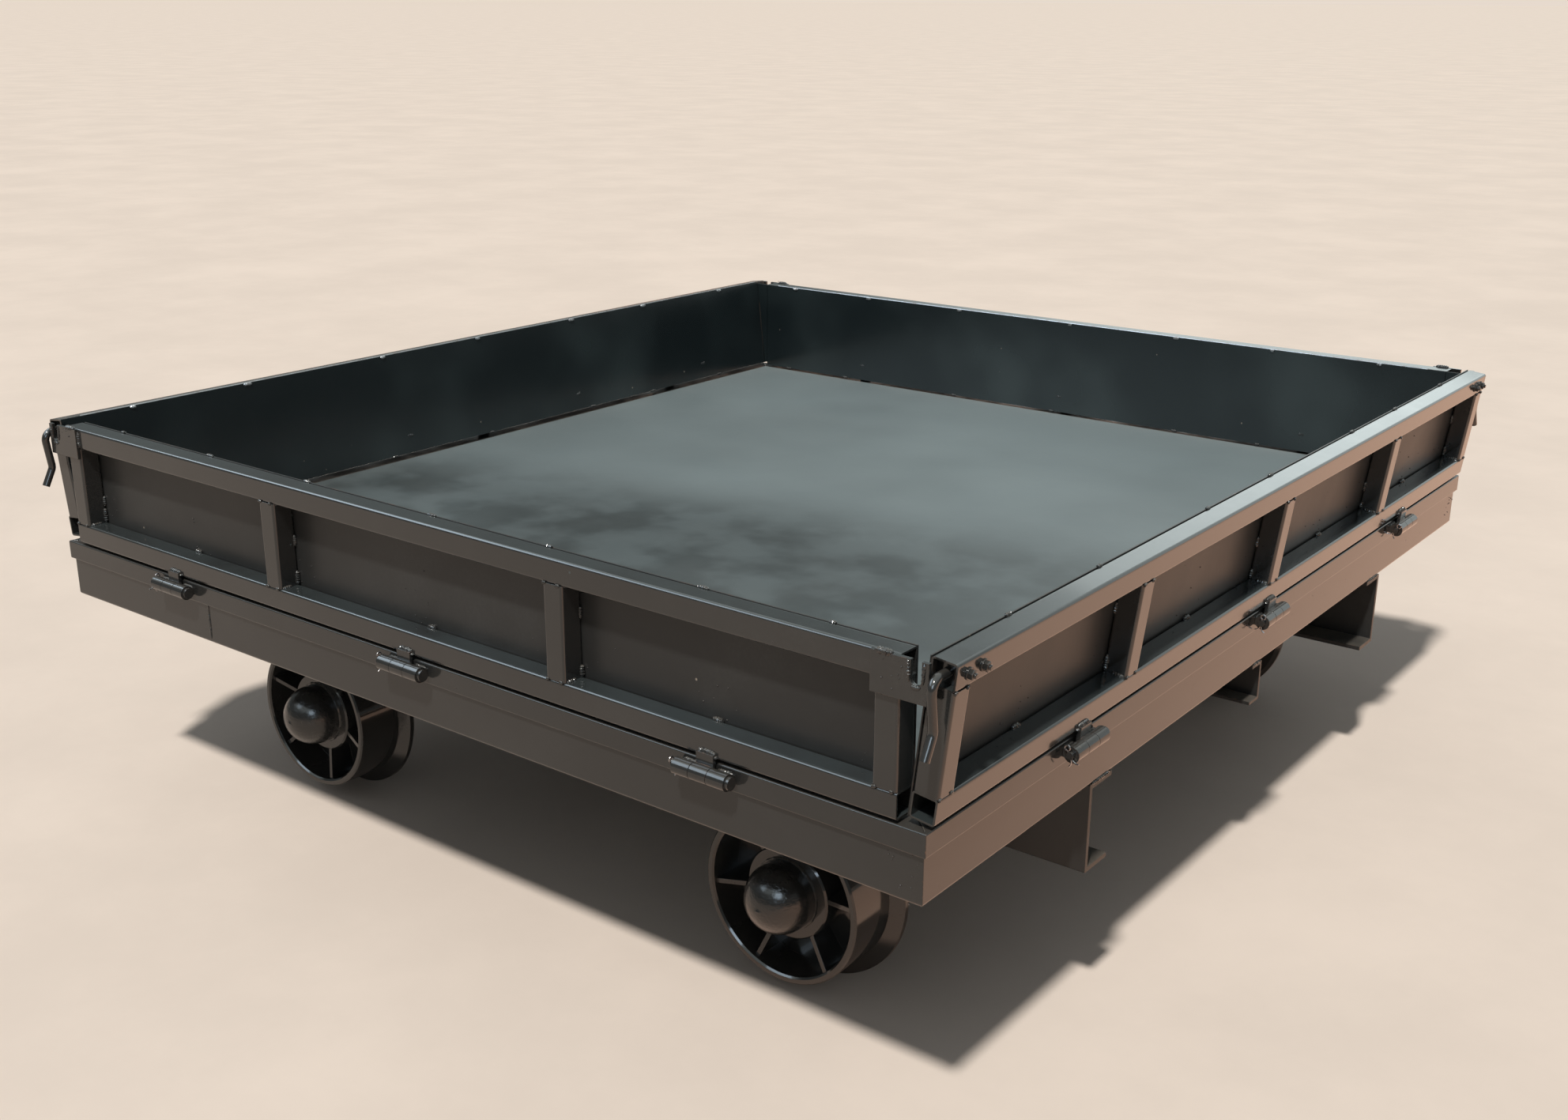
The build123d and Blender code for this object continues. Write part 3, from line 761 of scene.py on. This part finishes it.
# Latch welds, in metres: how far a bead stops short of an edge, or lies from it
PLATE_FOOT, PLATE_HEAD = 0.004, 0.005
PLATE_TOP_START, PLATE_TOP_END, PLATE_TOP_IN = 0.006, 0.008, 0.003
SLOT_BEAD_OFF, SLOT_BEAD_SHORT, SLOT_BEAD_FLARE = 0.002, 0.004, 0.002
SLOT_BEAD_TOP, SLOT_FOOT_HALF = 0.001, 0.007
PLATE_SPATTER_OFF, PLATE_SPATTER_DROP = 0.03, 0.015
END_BEAD_IN, END_BEAD_FOOT, END_BEAD_HEAD = 0.002, 0.003, 0.008


class TROLLEY_OT_weld_boards(bpy.types.Operator):
    """Weld each board's posts, skin, hinge tabs and latch plates"""

    bl_idname = "trolley.weld_boards"
    bl_label = "Weld the boards"

    def execute(self, context):
        welds = context.scene.trolley_welds
        for row, board in enumerate(BOARDS):
            rng = random.Random(BOARD_SEED + row)
            place, face = board_place(board), board_face(board)
            torch = Torch(bmesh.new(), place, welds, rng)
            bright = Torch(bmesh.new(), place, welds, rng) if board.body in HIGHLIGHT_EDGES else None
            self.weld_posts(torch, face, board)
            self.weld_bays(torch, face, board)
            self.weld_edges(torch, bright, face, board)
            self.weld_tabs(torch, face, board)
            if not board.leans:
                self.weld_latches(torch, face, board)
            finish_piece(f"{board.body}_welds", torch.bm, board.body, "weld_enamel")
            if bright:
                finish_piece(f"{board.body}_edge_highlight", bright.bm, board.body, "pin_steel")
        return {"FINISHED"}

    def weld_posts(self, torch, face, board):
        """Beads that join the posts to the rails and the skin."""
        rng, back, low, high = torch.rng, face + TUBE, RAIL_HIGH.z, TOP_LOW.z
        for x in board.posts:
            for side in (-1, 1):
                edge = x + side * TUBE / 2
                if abs(edge) > board.half - TUBE / 2:
                    continue
                for z, up in ((low, 1), (high, -1)):
                    end = face + rng.uniform(*POST_BEAD_END)
                    torch.bead((edge, face + POST_BEAD_START, z), (edge, end, z), (side, 0, up), size=0.9)
                y, z = back - SKIN_BEAD_OFF, low + rng.uniform(*POST_TACK_RISE)
                torch.bead((edge, y, z), (edge, y, z + torch.welds.tack), (side, -1, 0), size=0.8)
                y, z = back - CORNER_BEAD_OFF, low + rng.uniform(*CORNER_BEAD)
                torch.bead((edge, y, low), (edge, y, z), (side, -1, 0))
                torch.spatter((edge + side * SPATTER_OFF, back, low + SPATTER_OFF), count=5, reach=0.02)
            for z in (low, high):
                for spot in FACE_TACK_SPOTS:
                    run = rng.uniform(*FACE_TACK)
                    start, end = x + spot - run / 2, x + spot + run / 2
                    torch.bead((start, face, z), (end, face, z), (0, -1, 0), size=0.6)

    def weld_bays(self, torch, face, board):
        """One tack between skin and bottom rail in each bay between posts."""
        back, low, tack = face + TUBE, RAIL_HIGH.z, torch.welds.tack
        y = back - SKIN_BEAD_OFF
        for before, after in zip(board.posts, board.posts[1:]):
            middle = (before + after) / 2 + torch.rng.uniform(-SKIN_TACK_SHIFT, SKIN_TACK_SHIFT)
            torch.bead((middle - tack / 2, y, low), (middle + tack / 2, y, low), (0, -1, 1), size=1.15)
            torch.spatter((middle, back, low + SPATTER_OFF), count=9, reach=0.035)

    def weld_edges(self, torch, bright, face, board):
        """Tacks along the skin's top and bottom edges; on the far boards the top ones, and a wire along the edge,
        are bright steel, a painted highlight.
        """
        rng, back, inside, half = torch.rng, face + TUBE, face + TUBE + SKIN, board.half
        top, low, glint_z = TOP_HIGH.z, RAIL_LOW.z, TOP_HIGH.z - HIGHLIGHT_TACK_DROP
        for index in range(EDGE_TACKS):
            x = -half + (index + 0.5) * 2 * half / EDGE_TACKS + rng.uniform(-TOP_TACK_SHIFT, TOP_TACK_SHIFT)
            run = rng.uniform(*EDGE_TACK)
            # Painted highlight: bright steel tacks just below the top edge
            if bright:
                bright.bead((x, inside, glint_z), (x + run, inside, glint_z), (0, 1, 0.6), size=0.75)
            else:
                torch.bead((x, back, top), (x + run, back, top), (0, 0.4, 1), size=0.75)
            x += rng.uniform(-LOW_TACK_SHIFT, LOW_TACK_SHIFT)
            torch.bead((x, inside, low), (x + run, inside, low), (0, 1, -0.3), size=0.6)
        if bright:
            ends = [Vector((side * (half - TUBE), back + SKIN / 2, top)) for side in (-1, 1)]
            add_wire(bright.bm, bright.place, ends, HIGHLIGHT_WIRE_RADIUS)

    def weld_tabs(self, torch, face, board):
        """Beads round the hinge tabs on the bottom rail."""
        low, high = RAIL_LOW.z + TAB_BEAD_SHORT, TAB_TOP - TAB_BEAD_SHORT
        for x in board.hinges:
            left, right = x - KNUCKLE / 2, x + KNUCKLE / 2
            torch.bead((left, face, TAB_TOP), (right, face, TAB_TOP), (0, -1, 1), size=1.1)
            for edge, side in ((left, -1), (right, 1)):
                torch.bead((edge, face, low), (edge, face, high), (side, -1, 0), size=0.95)

    def weld_latches(self, torch, face, board):
        """Beads round the latch plates at both ends of a side board's top rail."""
        low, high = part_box("side_near_latch_plates")
        plate, top, half = low.y, high.z, board.half
        start = high.x - LATCH_PLATE
        slot_low, slot_foot = top - LATCH_SLOT_DEPTH + SLOT_BEAD_SHORT, top - LATCH_SLOT_DEPTH - SLOT_BEAD_OFF
        for side in (-1, 1):
            x = side * start
            torch.bead((x, face, TOP_LOW.z + PLATE_FOOT), (x, face, TOP_HIGH.z - PLATE_HEAD), (-side, -1, 0),
                       size=0.9)
            x, end, y = side * (start + PLATE_TOP_START), side * (half - PLATE_TOP_END), plate + PLATE_TOP_IN
            torch.bead((x, y, top), (end, y, top), (0, -0.3, 1), size=1.1)
            slot = side * (hinge_out("end_front_drop") - SLOT_IN)
            for edge in (-side, side):
                x = slot + edge * (LATCH_SLOT / 2 + SLOT_BEAD_OFF)
                torch.bead((x, plate, slot_low), (x + edge * SLOT_BEAD_FLARE, plate, top - SLOT_BEAD_TOP),
                           (edge, -1, 0), size=0.6)
            torch.bead((slot - SLOT_FOOT_HALF, plate, slot_foot), (slot + SLOT_FOOT_HALF, plate, slot_foot),
                       (0, -1, -0.5), size=0.6)
            x = slot - side * PLATE_SPATTER_OFF
            torch.spatter((x, plate, top - PLATE_SPATTER_DROP), count=9, reach=0.012)
            torch.bead((side * (half - TUBE), face, low.z), (side * half, face, low.z), (0, -1, -1), size=0.8)
            x = side * (half - END_BEAD_IN)
            torch.bead((x, face, TOP_LOW.z + END_BEAD_FOOT), (x, face, TOP_HIGH.z - END_BEAD_HEAD),
                       (side, 0.6, 0))


# Frame welds, in metres. A pair is a range to draw from.
KNUCKLE_BEAD_SHORT = 0.003
KNUCKLE_BEAD_RISE = 0.0065
FIRST_STITCH = (0.12, 0.20)
LAST_STITCH = 0.1
STITCH = (0.020, 0.034)
STITCH_PITCH = (0.26, 0.36)
CORNER_ROUND = 0.003
SKIRT_BEAD_FOOT, SKIRT_BEAD_HEAD = 0.004, 0.002
RIM_BEAD_FOOT, RIM_BEAD_HEAD = 0.002, 0.003
SPLICE_FOOT, SPLICE_HEAD = 0.008, 0.001
BEAM_BEAD = 0.034
BEAM_BEAD_IN = 0.042
BEAM_END_IN = 0.001
BEAM_EDGE_IN = 0.006
BOX_BEAD = 0.060
BOX_BEAD_IN = 0.012

# Ends of the bead across a rim's mitre, along and in from the corner
MITRE_START = (0.001, 0.005)
MITRE_END = (-0.034, 0.040)


class TROLLEY_OT_weld_frame(bpy.types.Operator):
    """Weld the hinge knuckles, skirt corners, rim, beams and axle boxes of the frame"""

    bl_idname = "trolley.weld_frame"
    bl_label = "Weld the frame"

    def execute(self, context):
        welds = context.scene.trolley_welds
        rng = random.Random(FRAME_SEED)
        bm = bmesh.new()
        for board in BOARDS:
            torch = Torch(bm, board_place(board, still=True), welds, rng)
            rim = -hinge_out(board.joint) + abs(RIM_LOW.y + hinge_out("side_near_drop"))
            self.weld_knuckles(torch, rim, board)
            self.weld_skirt(torch, rim, board)
        torch = Torch(bm, Matrix(), welds, rng)
        self.weld_beams(torch)
        self.weld_boxes(torch)
        finish_piece("frame_welds", bm, "frame", "weld_enamel")
        return {"FINISHED"}

    def weld_knuckles(self, torch, rim, board):
        """Beads above and below the fixed knuckles of one side's hinges."""
        for x in board.hinges:
            for side in (-1, 1):
                start = x + side * (KNUCKLE / 2 + KNUCKLE_BEAD_SHORT)
                end = x + side * (BARREL / 2 - KNUCKLE_BEAD_SHORT)
                for up in (1, -1):
                    z = HINGE_Z + up * KNUCKLE_BEAD_RISE
                    torch.bead((start, rim, z), (end, rim, z), (0, -1, up), size=0.8)

    def weld_skirt(self, torch, rim, board):
        """Stitches under one side's rim, beads down its corner and, on the long sides, the skirt's splice."""
        rng, low, high = torch.rng, RIM_LOW.z, RIM_HIGH.z
        web = rim + abs(RIM_LOW.y - SKIRT_LOW.y)
        length = hinge_out("side_near_drop" if board.leans else "end_front_drop") - CORNER_IN
        spot = -length + rng.uniform(*FIRST_STITCH)
        while spot < length - LAST_STITCH:
            run = rng.uniform(*STITCH)
            torch.bead((spot, web, low), (spot + run, web, low), (0, -1, -1), size=0.75)
            spot += rng.uniform(*STITCH_PITCH)
        x, y = length - CORNER_ROUND, web + CORNER_ROUND
        torch.bead((x, y, SKIRT_LOW.z + SKIRT_BEAD_FOOT), (x, y, low - SKIRT_BEAD_HEAD), (1, -1, 0), size=0.6)
        x, y = length + CORNER_ROUND, rim + CORNER_ROUND
        torch.bead((x, y, low + RIM_BEAD_FOOT), (x, y, high - RIM_BEAD_HEAD), (1, -1, 0), size=0.5)
        start, end = [(length + along, rim + inward, high) for along, inward in (MITRE_START, MITRE_END)]
        torch.bead(start, end, (0, 0, 1), size=0.35)
        if not board.leans:
            x = -SPLICE * length
            torch.bead((x, web, SKIRT_LOW.z + SPLICE_FOOT), (x, web, low - SPLICE_HEAD), (0, -1, 0), size=0.5)
        torch.spatter((length - SPATTER_OFF, web, low - SPATTER_OFF), count=12, reach=0.02)

    def weld_beams(self, torch):
        """Beads between the ends of the long channels and the skirt."""
        for beam in ("main_beam_near", "main_beam_far", "centre_beam"):
            low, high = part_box(beam)
            for end in (-1, 1):
                x = end * (abs(low.x) - BEAM_BEAD_IN)
                for y, away in ((low.y, -1), (high.y, 1)):
                    torch.bead((x, y, high.z), (x + end * BEAM_BEAD, y, high.z), (0, away, -1), size=1.1)
                x = end * (abs(low.x) - BEAM_END_IN)
                near, far = low.y + BEAM_EDGE_IN, high.y - BEAM_EDGE_IN
                torch.bead((x, near, high.z), (x, far, high.z), (end, 0, -1), size=0.7)

    def weld_boxes(self, torch):
        """Beads along the tops of the axle boxes, two on each of their long edges."""
        for name in ("axle_boxes_front", "axle_boxes_rear"):
            low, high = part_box(name)
            sides = ((low.y, -1), (high.y, 1), (low.y + BOX_WIDTH, 1), (high.y - BOX_WIDTH, -1))
            for y, away in sides:
                for x in (low.x + BOX_BEAD_IN, high.x - BOX_BEAD_IN - BOX_BEAD):
                    torch.bead((x, y, high.z), (x + BOX_BEAD, y, high.z), (0, away, -1))


class TROLLEY_OT_weld_caps(bpy.types.Operator):
    """Weld the domed caps on the wheel hubs"""

    bl_idname = "trolley.weld_caps"
    bl_label = "Weld the hub caps"

    def execute(self, context):
        welds = context.scene.trolley_welds
        for name in ("front", "rear"):
            torch = Torch(bmesh.new(), Matrix(), welds, random.Random(len(name)))
            low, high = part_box(f"hub_caps_{name}")
            seat = abs(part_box(f"wheel_{name}_near")[0].y) - HUB_INSET
            axle = JOINTS[f"wheelset_{name}_roll"]["pos_m"][2]
            for side in (-1, 1):
                torch.cap_bead(Vector(((low.x + high.x) / 2, side * seat, axle)), (high.x - low.x) / 2)
            body = f"wheelset_{name}"
            finish_piece(f"{body}_welds", torch.bm, body, "weld_enamel")
        return {"FINISHED"}


# Latch bolts, in metres
WASHER = 0.0022
WASHER_SINK = 0.0005
WASHER_EDGE = 0.0004
THREAD_PITCH = 0.00175
THREAD_DEPTH = 0.0009
THREAD_TIP = 0.0011
THREAD_SINK = 0.002

# Form of a nut, as shares of its own measures
NUT_CHAMFER = 0.6
NUT_ARCH = 0.8
NUT_FOOT = 0.96
NUT_TOP = 0.94

# Counts of points round a washer, a nut and a thread, and of the thread's turns
WASHER_SIDES = 32
NUT_POINTS = 12
THREAD_SIDES = 24
THREAD_TURNS = 3


class TROLLEY_OT_latch_bolts(bpy.types.Operator):
    """Fit the washers, nuts and thread ends that hold the latch guides in the end boards"""

    bl_idname = "trolley.latch_bolts"
    bl_label = "Fit the latch bolts"

    def execute(self, context):
        sizes = context.scene.trolley_fasteners
        height = (TOP_LOW.z + TOP_HIGH.z) / 2
        for board in BOARDS:
            if not board.leans:
                continue
            rng = random.Random(board.turn)
            bm = bmesh.new()
            for side in (-1, 1):
                for inset in (sizes.first, sizes.second):
                    spot = Vector((side * (board.half - inset), board_face(board), height))
                    out = Matrix.Translation(spot) @ Matrix.Rotation(math.pi / 2, 4, "X")
                    spin = Matrix.Rotation(rng.uniform(0, math.pi), 4, "Z")
                    self.add_bolt(bm, board_place(board) @ out @ spin, sizes)
            finish_piece(f"{board.body}_latch_bolts", bm, board.body, "bolt_enamel")
        return {"FINISHED"}

    def add_bolt(self, bm, place, sizes):
        """One washer, nut and thread end, standing along the local Z."""
        radius, inner = sizes.washer, sizes.washer - WASHER_EDGE
        washer = [(inner, -WASHER_SINK), (radius, WASHER_EDGE)]
        washer += [(radius, WASHER - WASHER_EDGE), (inner, WASHER)]
        add_lathe(bm, place, washer, WASHER_SIDES)
        self.add_nut(bm, place, sizes)
        base = WASHER + sizes.nut - THREAD_SINK
        thread = []
        for turn in range(THREAD_TURNS):
            thread.append((sizes.thread - THREAD_DEPTH, base + turn * THREAD_PITCH))
            thread.append((sizes.thread, base + (turn + 0.5) * THREAD_PITCH))
        thread.append((sizes.thread - THREAD_TIP, base + THREAD_TURNS * THREAD_PITCH))
        add_lathe(bm, place, thread, THREAD_SIDES)

    def add_nut(self, bm, place, sizes):
        """Hexagon nut with arched chamfers, standing on the washer."""
        flat, corner = sizes.flats / 2, sizes.flats / math.sqrt(3)
        drop = (corner - flat) * NUT_CHAMFER
        arch = drop * NUT_ARCH
        # columns: height on the nut, reach at a corner, reach at a flat, lift at a flat
        levels = (
            (0.0, corner * NUT_FOOT, flat * NUT_FOOT, 0.0),
            (drop, corner, flat, -arch),
            (sizes.nut - drop, corner, flat, arch),
            (sizes.nut, flat * NUT_TOP, flat * NUT_TOP, 0.0),
        )
        rings = []
        for level, at_corner, at_flat, lift in levels:
            ring = []
            for point in range(NUT_POINTS):
                angle = 2 * math.pi * point / NUT_POINTS
                reach, height = (at_flat, level + lift) if point % 2 else (at_corner, level)
                spot = Vector((reach * math.cos(angle), reach * math.sin(angle), WASHER + height))
                ring.append(bm.verts.new(place @ spot))
            rings.append(ring)
        stitch(bm, rings)


# Corner lips, in metres
LIP_CLEARANCE = 0.0015
LIP_LAP = 0.001
LIP_FOOT = 0.002


class TROLLEY_OT_corner_lips(bpy.types.Operator):
    """Close the far corners with lips that carry the far side's skin on to the leaning end boards"""

    bl_idname = "trolley.corner_lips"
    bl_label = "Fit the corner lips"

    def execute(self, context):
        low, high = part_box("side_far_skin")
        end_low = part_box("end_front_skin")[0]
        slope = math.tan(math.radians(END_LEAN))
        inner = high.x - LIP_LAP
        bm = bmesh.new()
        for side in (-1, 1):
            rings = []
            for z in (end_low.z + LIP_FOOT, high.z):
                reach = end_low.x + (z - end_low.z) * slope - LIP_CLEARANCE
                corners = ((inner, low.y), (reach, low.y), (reach, high.y), (inner, high.y))
                rings.append([bm.verts.new((side * x, y, z)) for x, y in corners])
            stitch(bm, rings)
        finish_piece("side_far_corner_lips", bm, "side_far", "skin_enamel")
        return {"FINISHED"}


# Split pins: angles in degrees, places on the hinge pin in metres, and shares of the wire's radius
PIN_SWINGS = (-25, 10, 32)
PIN_PAST_BARREL = 0.0032
EYE_STAND = 0.0078
EYE_START, EYE_TURN = -70, 320
EYE_STEPS = 16
LEG_TOP, LEG_STRAIGHT = 0.009, -0.007
LEG_SPREAD = 0.8
LEG_WIRE = 0.9

# The bend of a leg, in metres. Columns: spread beyond the wire's radius, height
LEG_BEND = ((0.0008, -0.010), (0.0034, -0.0135), (0.0075, -0.0155))


class TROLLEY_OT_split_pins(bpy.types.Operator):
    """Fit a split pin through the plain end of each hinge pin"""

    bl_idname = "trolley.split_pins"
    bl_label = "Fit the split pins"

    def execute(self, context):
        sizes = context.scene.trolley_fasteners
        for board in BOARDS:
            bm = bmesh.new()
            for x, degrees in zip(board.hinges, PIN_SWINGS):
                spot = Vector((x - BARREL / 2 - PIN_PAST_BARREL, -hinge_out(board.joint), HINGE_Z))
                swing = Matrix.Rotation(math.radians(degrees), 4, "X")
                self.add_pin(bm, board_place(board, still=True) @ Matrix.Translation(spot) @ swing, sizes)
            finish_piece(f"{board.body}_split_pins", bm, "frame", "pin_steel")
        return {"FINISHED"}

    def add_pin(self, bm, place, sizes):
        """An eye above the hinge pin and two legs below it, bent apart."""
        wire, eye = sizes.wire, sizes.eye
        loop = []
        for step in range(EYE_STEPS + 1):
            angle = math.radians(EYE_START + EYE_TURN * step / EYE_STEPS)
            loop.append(Vector((0, eye * math.cos(angle), EYE_STAND + eye + eye * math.sin(angle))))
        add_wire(bm, place, loop, wire)
        leg = [(wire * LEG_SPREAD, LEG_TOP), (wire * LEG_SPREAD, LEG_STRAIGHT)]
        leg += [(wire + spread, height) for spread, height in LEG_BEND]
        for side in (-1, 1):
            add_wire(bm, place, [Vector((0, side * y, z)) for y, z in leg], wire * LEG_WIRE)


# Columns: name, place, width, height, power in watts, colour
SOFTBOXES = [
    ("left_softbox", (-2.6, -2.5, 3.5), 4.6, 1.8, 85.0, (0.68, 0.84, 1.0)),
    ("front_softbox", (2.4, -3.9, 2.5), 1.6, 1.2, 30.0, (0.68, 0.84, 1.0)),
    ("back_softbox", (-0.4, 4.8, 2.6), 3.0, 1.6, 13.0, (0.85, 0.95, 0.95)),
]

# Aims and reaches in metres, colours, and shares
SOFTBOX_AIM = Vector((0, -0.6, 0.5))
KEY_TINT = (1.0, 0.96, 0.91)
KEY_SPREAD = math.radians(4)
SKY_TINT = (0.92, 0.97, 1.0, 1)
SKY_IN_GLOSS = (0.90, 1.0, 0.99, 1)
FLOOR_REACH = 900.0
FLOOR_MOTTLE = (0.95, 1.04)
FLOOR_ROUGHNESS = 0.8
FLOOR_SHINE = 0.15
CAMERA_REACH = 2000.0

# Width of the camera's sensor, in millimetres
SENSOR = 36.0


class TROLLEY_OT_stage(bpy.types.Operator):
    """Lay the floor, set the lights and stand the camera at the picture's angle"""

    bl_idname = "trolley.stage"
    bl_label = "Set the studio"

    def execute(self, context):
        stage = context.scene.trolley_stage
        self.lay_floor(context, stage)
        self.make_sky(context, stage)
        self.hang_lamps(context, stage)
        self.stand_camera(context, stage)
        context.scene.view_settings.view_transform = "Standard"
        return {"FINISHED"}

    def lay_floor(self, context, stage):
        """One wide pale plane with a faint mottle, clear from below; gloss sees it as a painted reflection, dimmer
        to the front left and warmer to the back right.
        """
        bm = bmesh.new()
        bmesh.ops.create_grid(bm, x_segments=2, y_segments=2, size=FLOOR_REACH)
        mesh = bpy.data.meshes.new("floor")
        bm.to_mesh(mesh)
        bm.free()
        floor = bpy.data.objects.new("floor", mesh)
        context.scene.collection.objects.link(floor)
        material, shader = fresh_material("pale_floor")
        tree = material.node_tree
        shader.inputs["Specular IOR Level"].default_value = FLOOR_SHINE
        shader.inputs["Roughness"].default_value = FLOOR_ROUGHNESS
        place = object_place(tree)
        dim, pale = [(*(Vector(stage.floor[:3]) * share), 1) for share in FLOOR_MOTTLE]
        mottle = ramp(tree, noise(tree, place, 1.3, detail=6.0, rough=0.65), 0.3, 0.75)
        # Painted reflection: what gloss shows of the floor
        away = ramp(tree, dot_product(tree, place, (1, 1, 0)), -1.5, 1.0)
        shown = blend_colour(tree, away, stage.floor_near, stage.floor_far)
        glossy = tree.nodes.new("ShaderNodeLightPath").outputs["Is Glossy Ray"]
        tone = blend_colour(tree, glossy, blend_colour(tree, mottle, dim, pale), shown)
        tree.links.new(tone, shader.inputs["Base Color"])
        below = tree.nodes.new("ShaderNodeNewGeometry").outputs["Backfacing"]
        clear = tree.nodes.new("ShaderNodeBsdfTransparent").outputs[0]
        surface = mix_shaders(tree, below, shader.outputs[0], clear)
        tree.links.new(surface, tree.nodes["Material Output"].inputs["Surface"])
        mesh.materials.append(material)

    def make_sky(self, context, stage):
        """Soft sky that gloss shows brighter on one side and overhead, behind a plain backdrop."""
        world = bpy.data.worlds.new("studio_sky")
        context.scene.world = world
        world.use_nodes = True
        tree = world.node_tree
        soft = tree.nodes["Background"]
        soft.inputs["Strength"].default_value = stage.sky
        soft.inputs["Color"].default_value = SKY_TINT
        way = tree.nodes.new("ShaderNodeTexCoord").outputs["Generated"]
        bright_way = (math.cos(stage.bright_way), math.sin(stage.bright_way), 0)
        beside = ramp(tree, dot_product(tree, way, bright_way), 0.70, 0.94)
        above = ramp(tree, dot_product(tree, way, (0, 0, 1)), 0.38, 0.6)
        share = arithmetic(tree, "MAXIMUM", beside, above)
        shown = tree.nodes.new("ShaderNodeBackground")
        shown.inputs["Color"].default_value = SKY_IN_GLOSS
        strength = ramp(tree, share, 0.0, 1.0, floor=stage.dark, top=stage.bright)
        tree.links.new(strength, shown.inputs["Strength"])
        backdrop = tree.nodes.new("ShaderNodeBackground")
        backdrop.inputs["Color"].default_value = stage.floor
        seen = tree.nodes.new("ShaderNodeLightPath").outputs
        light = mix_shaders(tree, seen["Is Glossy Ray"], soft.outputs[0], shown.outputs[0])
        surface = mix_shaders(tree, seen["Is Camera Ray"], light, backdrop.outputs[0])
        tree.links.new(surface, tree.nodes["World Output"].inputs["Surface"])
        world.cycles.sampling_method = "NONE"

    def hang_lamps(self, context, stage):
        """One high key, and softboxes that only gloss shows."""
        key = bpy.data.lights.new("key", "SUN")
        key.energy = stage.key
        key.angle = KEY_SPREAD
        key.color = KEY_TINT
        self.aim_lamp(context, key, Vector(stage.key_aim))
        for name, place, width, height, power, colour in SOFTBOXES:
            box = bpy.data.lights.new(name, "AREA")
            box.shape = "RECTANGLE"
            box.size, box.size_y = width, height
            box.energy = power
            box.color = colour
            lamp = self.aim_lamp(context, box, SOFTBOX_AIM - Vector(place))
            lamp.location = place
            lamp.visible_diffuse = False

    def aim_lamp(self, context, light, way):
        """Lamp object for a light, turned to shine along a direction."""
        lamp = bpy.data.objects.new(light.name, light)
        lamp.rotation_euler = way.to_track_quat("-Z", "Y").to_euler()
        context.scene.collection.objects.link(lamp)
        return lamp

    def stand_camera(self, context, stage):
        """Camera at the picture's place, angle and lens."""
        lens = bpy.data.cameras.new("camera")
        lens.sensor_fit = "HORIZONTAL"
        lens.sensor_width = SENSOR
        lens.lens = stage.lens
        lens.clip_end = CAMERA_REACH
        camera = bpy.data.objects.new("camera", lens)
        back = Vector((math.sin(stage.azimuth) * math.cos(stage.elevation),
                       -math.cos(stage.azimuth) * math.cos(stage.elevation), math.sin(stage.elevation)))
        aim = (-back).to_track_quat("-Z", "Y").to_matrix().to_4x4()
        camera.matrix_world = Matrix.Translation(stage.eye) @ aim @ Matrix.Rotation(stage.roll, 4, "Z")
        context.scene.collection.objects.link(camera)
        context.scene.camera = camera


class TROLLEY_PT_panel(bpy.types.Panel):
    """The trolley's pieces, finishes and studio"""

    bl_idname = "TROLLEY_PT_panel"
    bl_label = "Rail trolley"
    bl_space_type = "VIEW_3D"
    bl_region_type = "UI"
    bl_category = "Trolley"

    def draw(self, context):
        for group in GROUPS:
            box = self.layout.box()
            box.label(text=group.__doc__)
            settings = getattr(context.scene, GROUPS[group])
            for name in group.__annotations__:
                box.prop(settings, name)
        for operator in OPERATORS:
            self.layout.operator(operator.bl_idname)


GROUPS = {
    TrolleyPaint: "trolley_paint",
    TrolleyWelds: "trolley_welds",
    TrolleyFasteners: "trolley_fasteners",
    TrolleyStage: "trolley_stage",
}
OPERATORS = [
    TROLLEY_OT_paint,
    TROLLEY_OT_weld_boards,
    TROLLEY_OT_weld_frame,
    TROLLEY_OT_weld_caps,
    TROLLEY_OT_latch_bolts,
    TROLLEY_OT_corner_lips,
    TROLLEY_OT_split_pins,
    TROLLEY_OT_stage,
]


def register():
    """Register the settings, operators and panel."""
    for group, name in GROUPS.items():
        bpy.utils.register_class(group)
        setattr(bpy.types.Scene, name, bpy.props.PointerProperty(type=group))
    for operator in OPERATORS:
        bpy.utils.register_class(operator)
    bpy.utils.register_class(TROLLEY_PT_panel)


def unregister():
    """Undo register()."""
    bpy.utils.unregister_class(TROLLEY_PT_panel)
    for operator in reversed(OPERATORS):
        bpy.utils.unregister_class(operator)
    for group, name in GROUPS.items():
        delattr(bpy.types.Scene, name)
        bpy.utils.unregister_class(group)


def main():
    """Register everything and make the pieces in order."""
    register()
    bpy.ops.trolley.paint()
    bpy.ops.trolley.weld_boards()
    bpy.ops.trolley.weld_frame()
    bpy.ops.trolley.weld_caps()
    bpy.ops.trolley.latch_bolts()
    bpy.ops.trolley.corner_lips()
    bpy.ops.trolley.split_pins()
    bpy.ops.trolley.stage()


if __name__ == "__main__":
    main()
